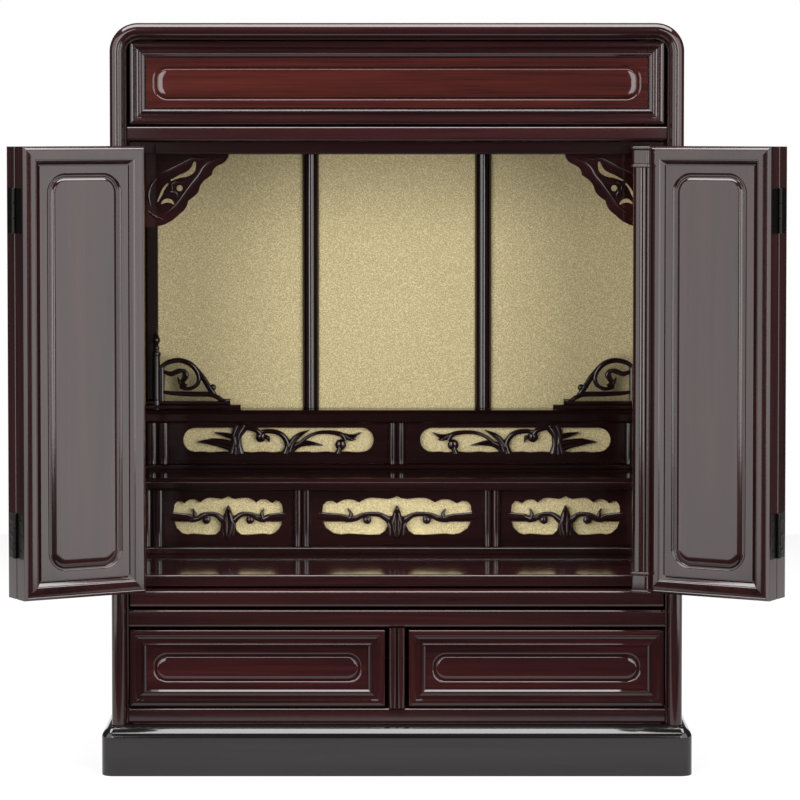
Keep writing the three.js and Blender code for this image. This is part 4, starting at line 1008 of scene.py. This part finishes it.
# Assembly
plinth()
case_shell()
front_moulding()
fascia()
rails()
end_x = span("back_frame")[0][1] - END_POST_MIDDLE
riser("lower", 6, [(-end_x, END_POST), (-LOWER_POST_X, LOWER_POST), (LOWER_POST_X, LOWER_POST),
                   (end_x, END_POST)])
riser("upper", 4, [(-end_x, END_POST), (0, UPPER_POST), (end_x, END_POST)])
cloud_middle = span("altar_floor")[2][1] + CLOUD_HEIGHT
cloud_carving("cloud_carving_centre", "lower_carving_centre", 9.7, cloud_middle)
back_frame()
meeting_strip()
for name, side in SIDES.items():
    cloud_carving(f"cloud_carving_{name}", f"lower_carving_{name}", 8.5, cloud_middle)
    vine_carving(name, side)
    spandrel(name, side)
    scroll_rail(name, side)
    drawer_front(name)
    leaf(name, side, False)
    leaf(name, side, True)
    hinges(name, side)

# Flat boards of the model stay, each in its own finish
for node, material in {
    "back_board": satin_stain, "ceiling_board": satin_stain,
    "lower_gold_board": gold_paper, "upper_gold_board": gold_paper, "gold_back_panel": gold_paper,
    "drawer_box_left": box_wood, "drawer_box_right": box_wood,
}.items():
    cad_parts[node].material_slots[0].material = material


# Floor: a small light table. Beyond it there is nothing for the polish to mirror.
def light_table():
    """Backlit opal acrylic. The eye sees an even white with faint soft shadows."""
    material, tree, shader, place = start("backlit opal acrylic")
    haze = add(tree, "ShaderNodeTexNoise", {"Vector": place, "Scale": 1 / 0.4, "Detail": 2})
    pale = add(tree, "ShaderNodeMix", {
        "Factor": haze.outputs["Fac"], "A": linear(0x707070), "B": linear(0x767676)}, data_type="RGBA")
    feed(tree, shader, {
        "Base Color": pale.outputs["Result"], "Roughness": 0.9, "Specular IOR Level": 0,
        "Emission Color": (1, 1, 1, 1), "Emission Strength": 0.75})
    sheet = bmesh.new()
    bmesh.ops.create_grid(sheet, x_segments=1, y_segments=1, size=1)
    bmesh.ops.scale(sheet, vec=(1.6, 0.95, 1), verts=sheet.verts)
    bmesh.ops.translate(sheet, vec=(0, 0.6, 0), verts=sheet.verts)
    mesh = bpy.data.meshes.new("light_table")
    sheet.to_mesh(mesh)
    sheet.free()
    mesh.materials.append(material)
    table = bpy.data.objects.new("light_table", mesh)
    bpy.context.scene.collection.objects.link(table)


light_table()


# Lights
def softbox(name, place, target, width, height, glow):
    """A soft rectangular light; glow is the brightness of its face."""
    lamp = bpy.data.lights.new(name, "AREA")
    lamp.shape = "RECTANGLE"
    lamp.size = width
    lamp.size_y = height
    lamp.energy = glow * pi * width * height
    box = bpy.data.objects.new(name, lamp)
    box.location = place
    box.rotation_euler = (Vector(target) - Vector(place)).to_track_quat("-Z", "Y").to_euler()
    box.visible_camera = False
    bpy.context.scene.collection.objects.link(box)


for side, glow in ((-1, 3.1), (1, 3.6)):
    softbox(f"side softbox {side}", (side * 0.9, -0.78, 0.52), (-side * 0.25, -0.12, 0.44),
            1.0, 1.1, glow)
    softbox(f"front softbox {side}", (side * 0.83, -2.6, 0.65), (0, 0.1, 0.35), 0.75, 1.3, 7.1)
softbox("top softbox", (0, -0.5, 1.9), (0, -0.35, 0.3), 2.6, 1.25, 13)
softbox("back softbox", (0, 2.2, 1.5), (0, 0, 0.3), 1.6, 0.8, 2)

# Surroundings: white where the camera sees them, nearly dark for all that they light
world = bpy.data.worlds.new("studio")
world.use_nodes = True
sky = world.node_tree
lit = add(sky, "ShaderNodeBackground", {"Color": (1, 1, 1, 1), "Strength": 0.05})
white = add(sky, "ShaderNodeBackground", {"Color": (1, 1, 1, 1), "Strength": 1})
seen = add(sky, "ShaderNodeLightPath").outputs["Is Camera Ray"]
mix = add(sky, "ShaderNodeMixShader", {0: seen, 1: lit.outputs[0], 2: white.outputs[0]})
sky.links.new(mix.outputs[0], sky.nodes["World Output"].inputs["Surface"])
sky.nodes.remove(sky.nodes["Background"])
bpy.context.scene.world = world
bpy.context.scene.view_settings.view_transform = "Standard"

# Camera: in front of the rails, at the height where the photograph's horizon lies. A part of the
# photograph's lens shift is kept, and the pitch makes up for the rest
DISTANCE = 2.9
HEIGHT = 0.5363
PIXELS = 800
SENSOR = 36
FOCAL = 3606
HORIZON = 110
MIDDLE_X = 396.9
SHIFT_Y = -0.15
camera_data = bpy.data.cameras.new("camera")
camera_data.sensor_width = SENSOR
camera_data.lens = FOCAL / PIXELS * SENSOR
camera_data.shift_y = SHIFT_Y
camera_data.shift_x = (PIXELS / 2 - MIDDLE_X) / PIXELS
camera = bpy.data.objects.new("camera", camera_data)
pitch = ((PIXELS / 2 - HORIZON) + SHIFT_Y * PIXELS) / FOCAL
camera.location = (0, FRONT - DISTANCE, HEIGHT)
camera.rotation_euler = (pi / 2 - pitch, 0, 0)
bpy.context.scene.collection.objects.link(camera)
bpy.context.scene.camera = camera
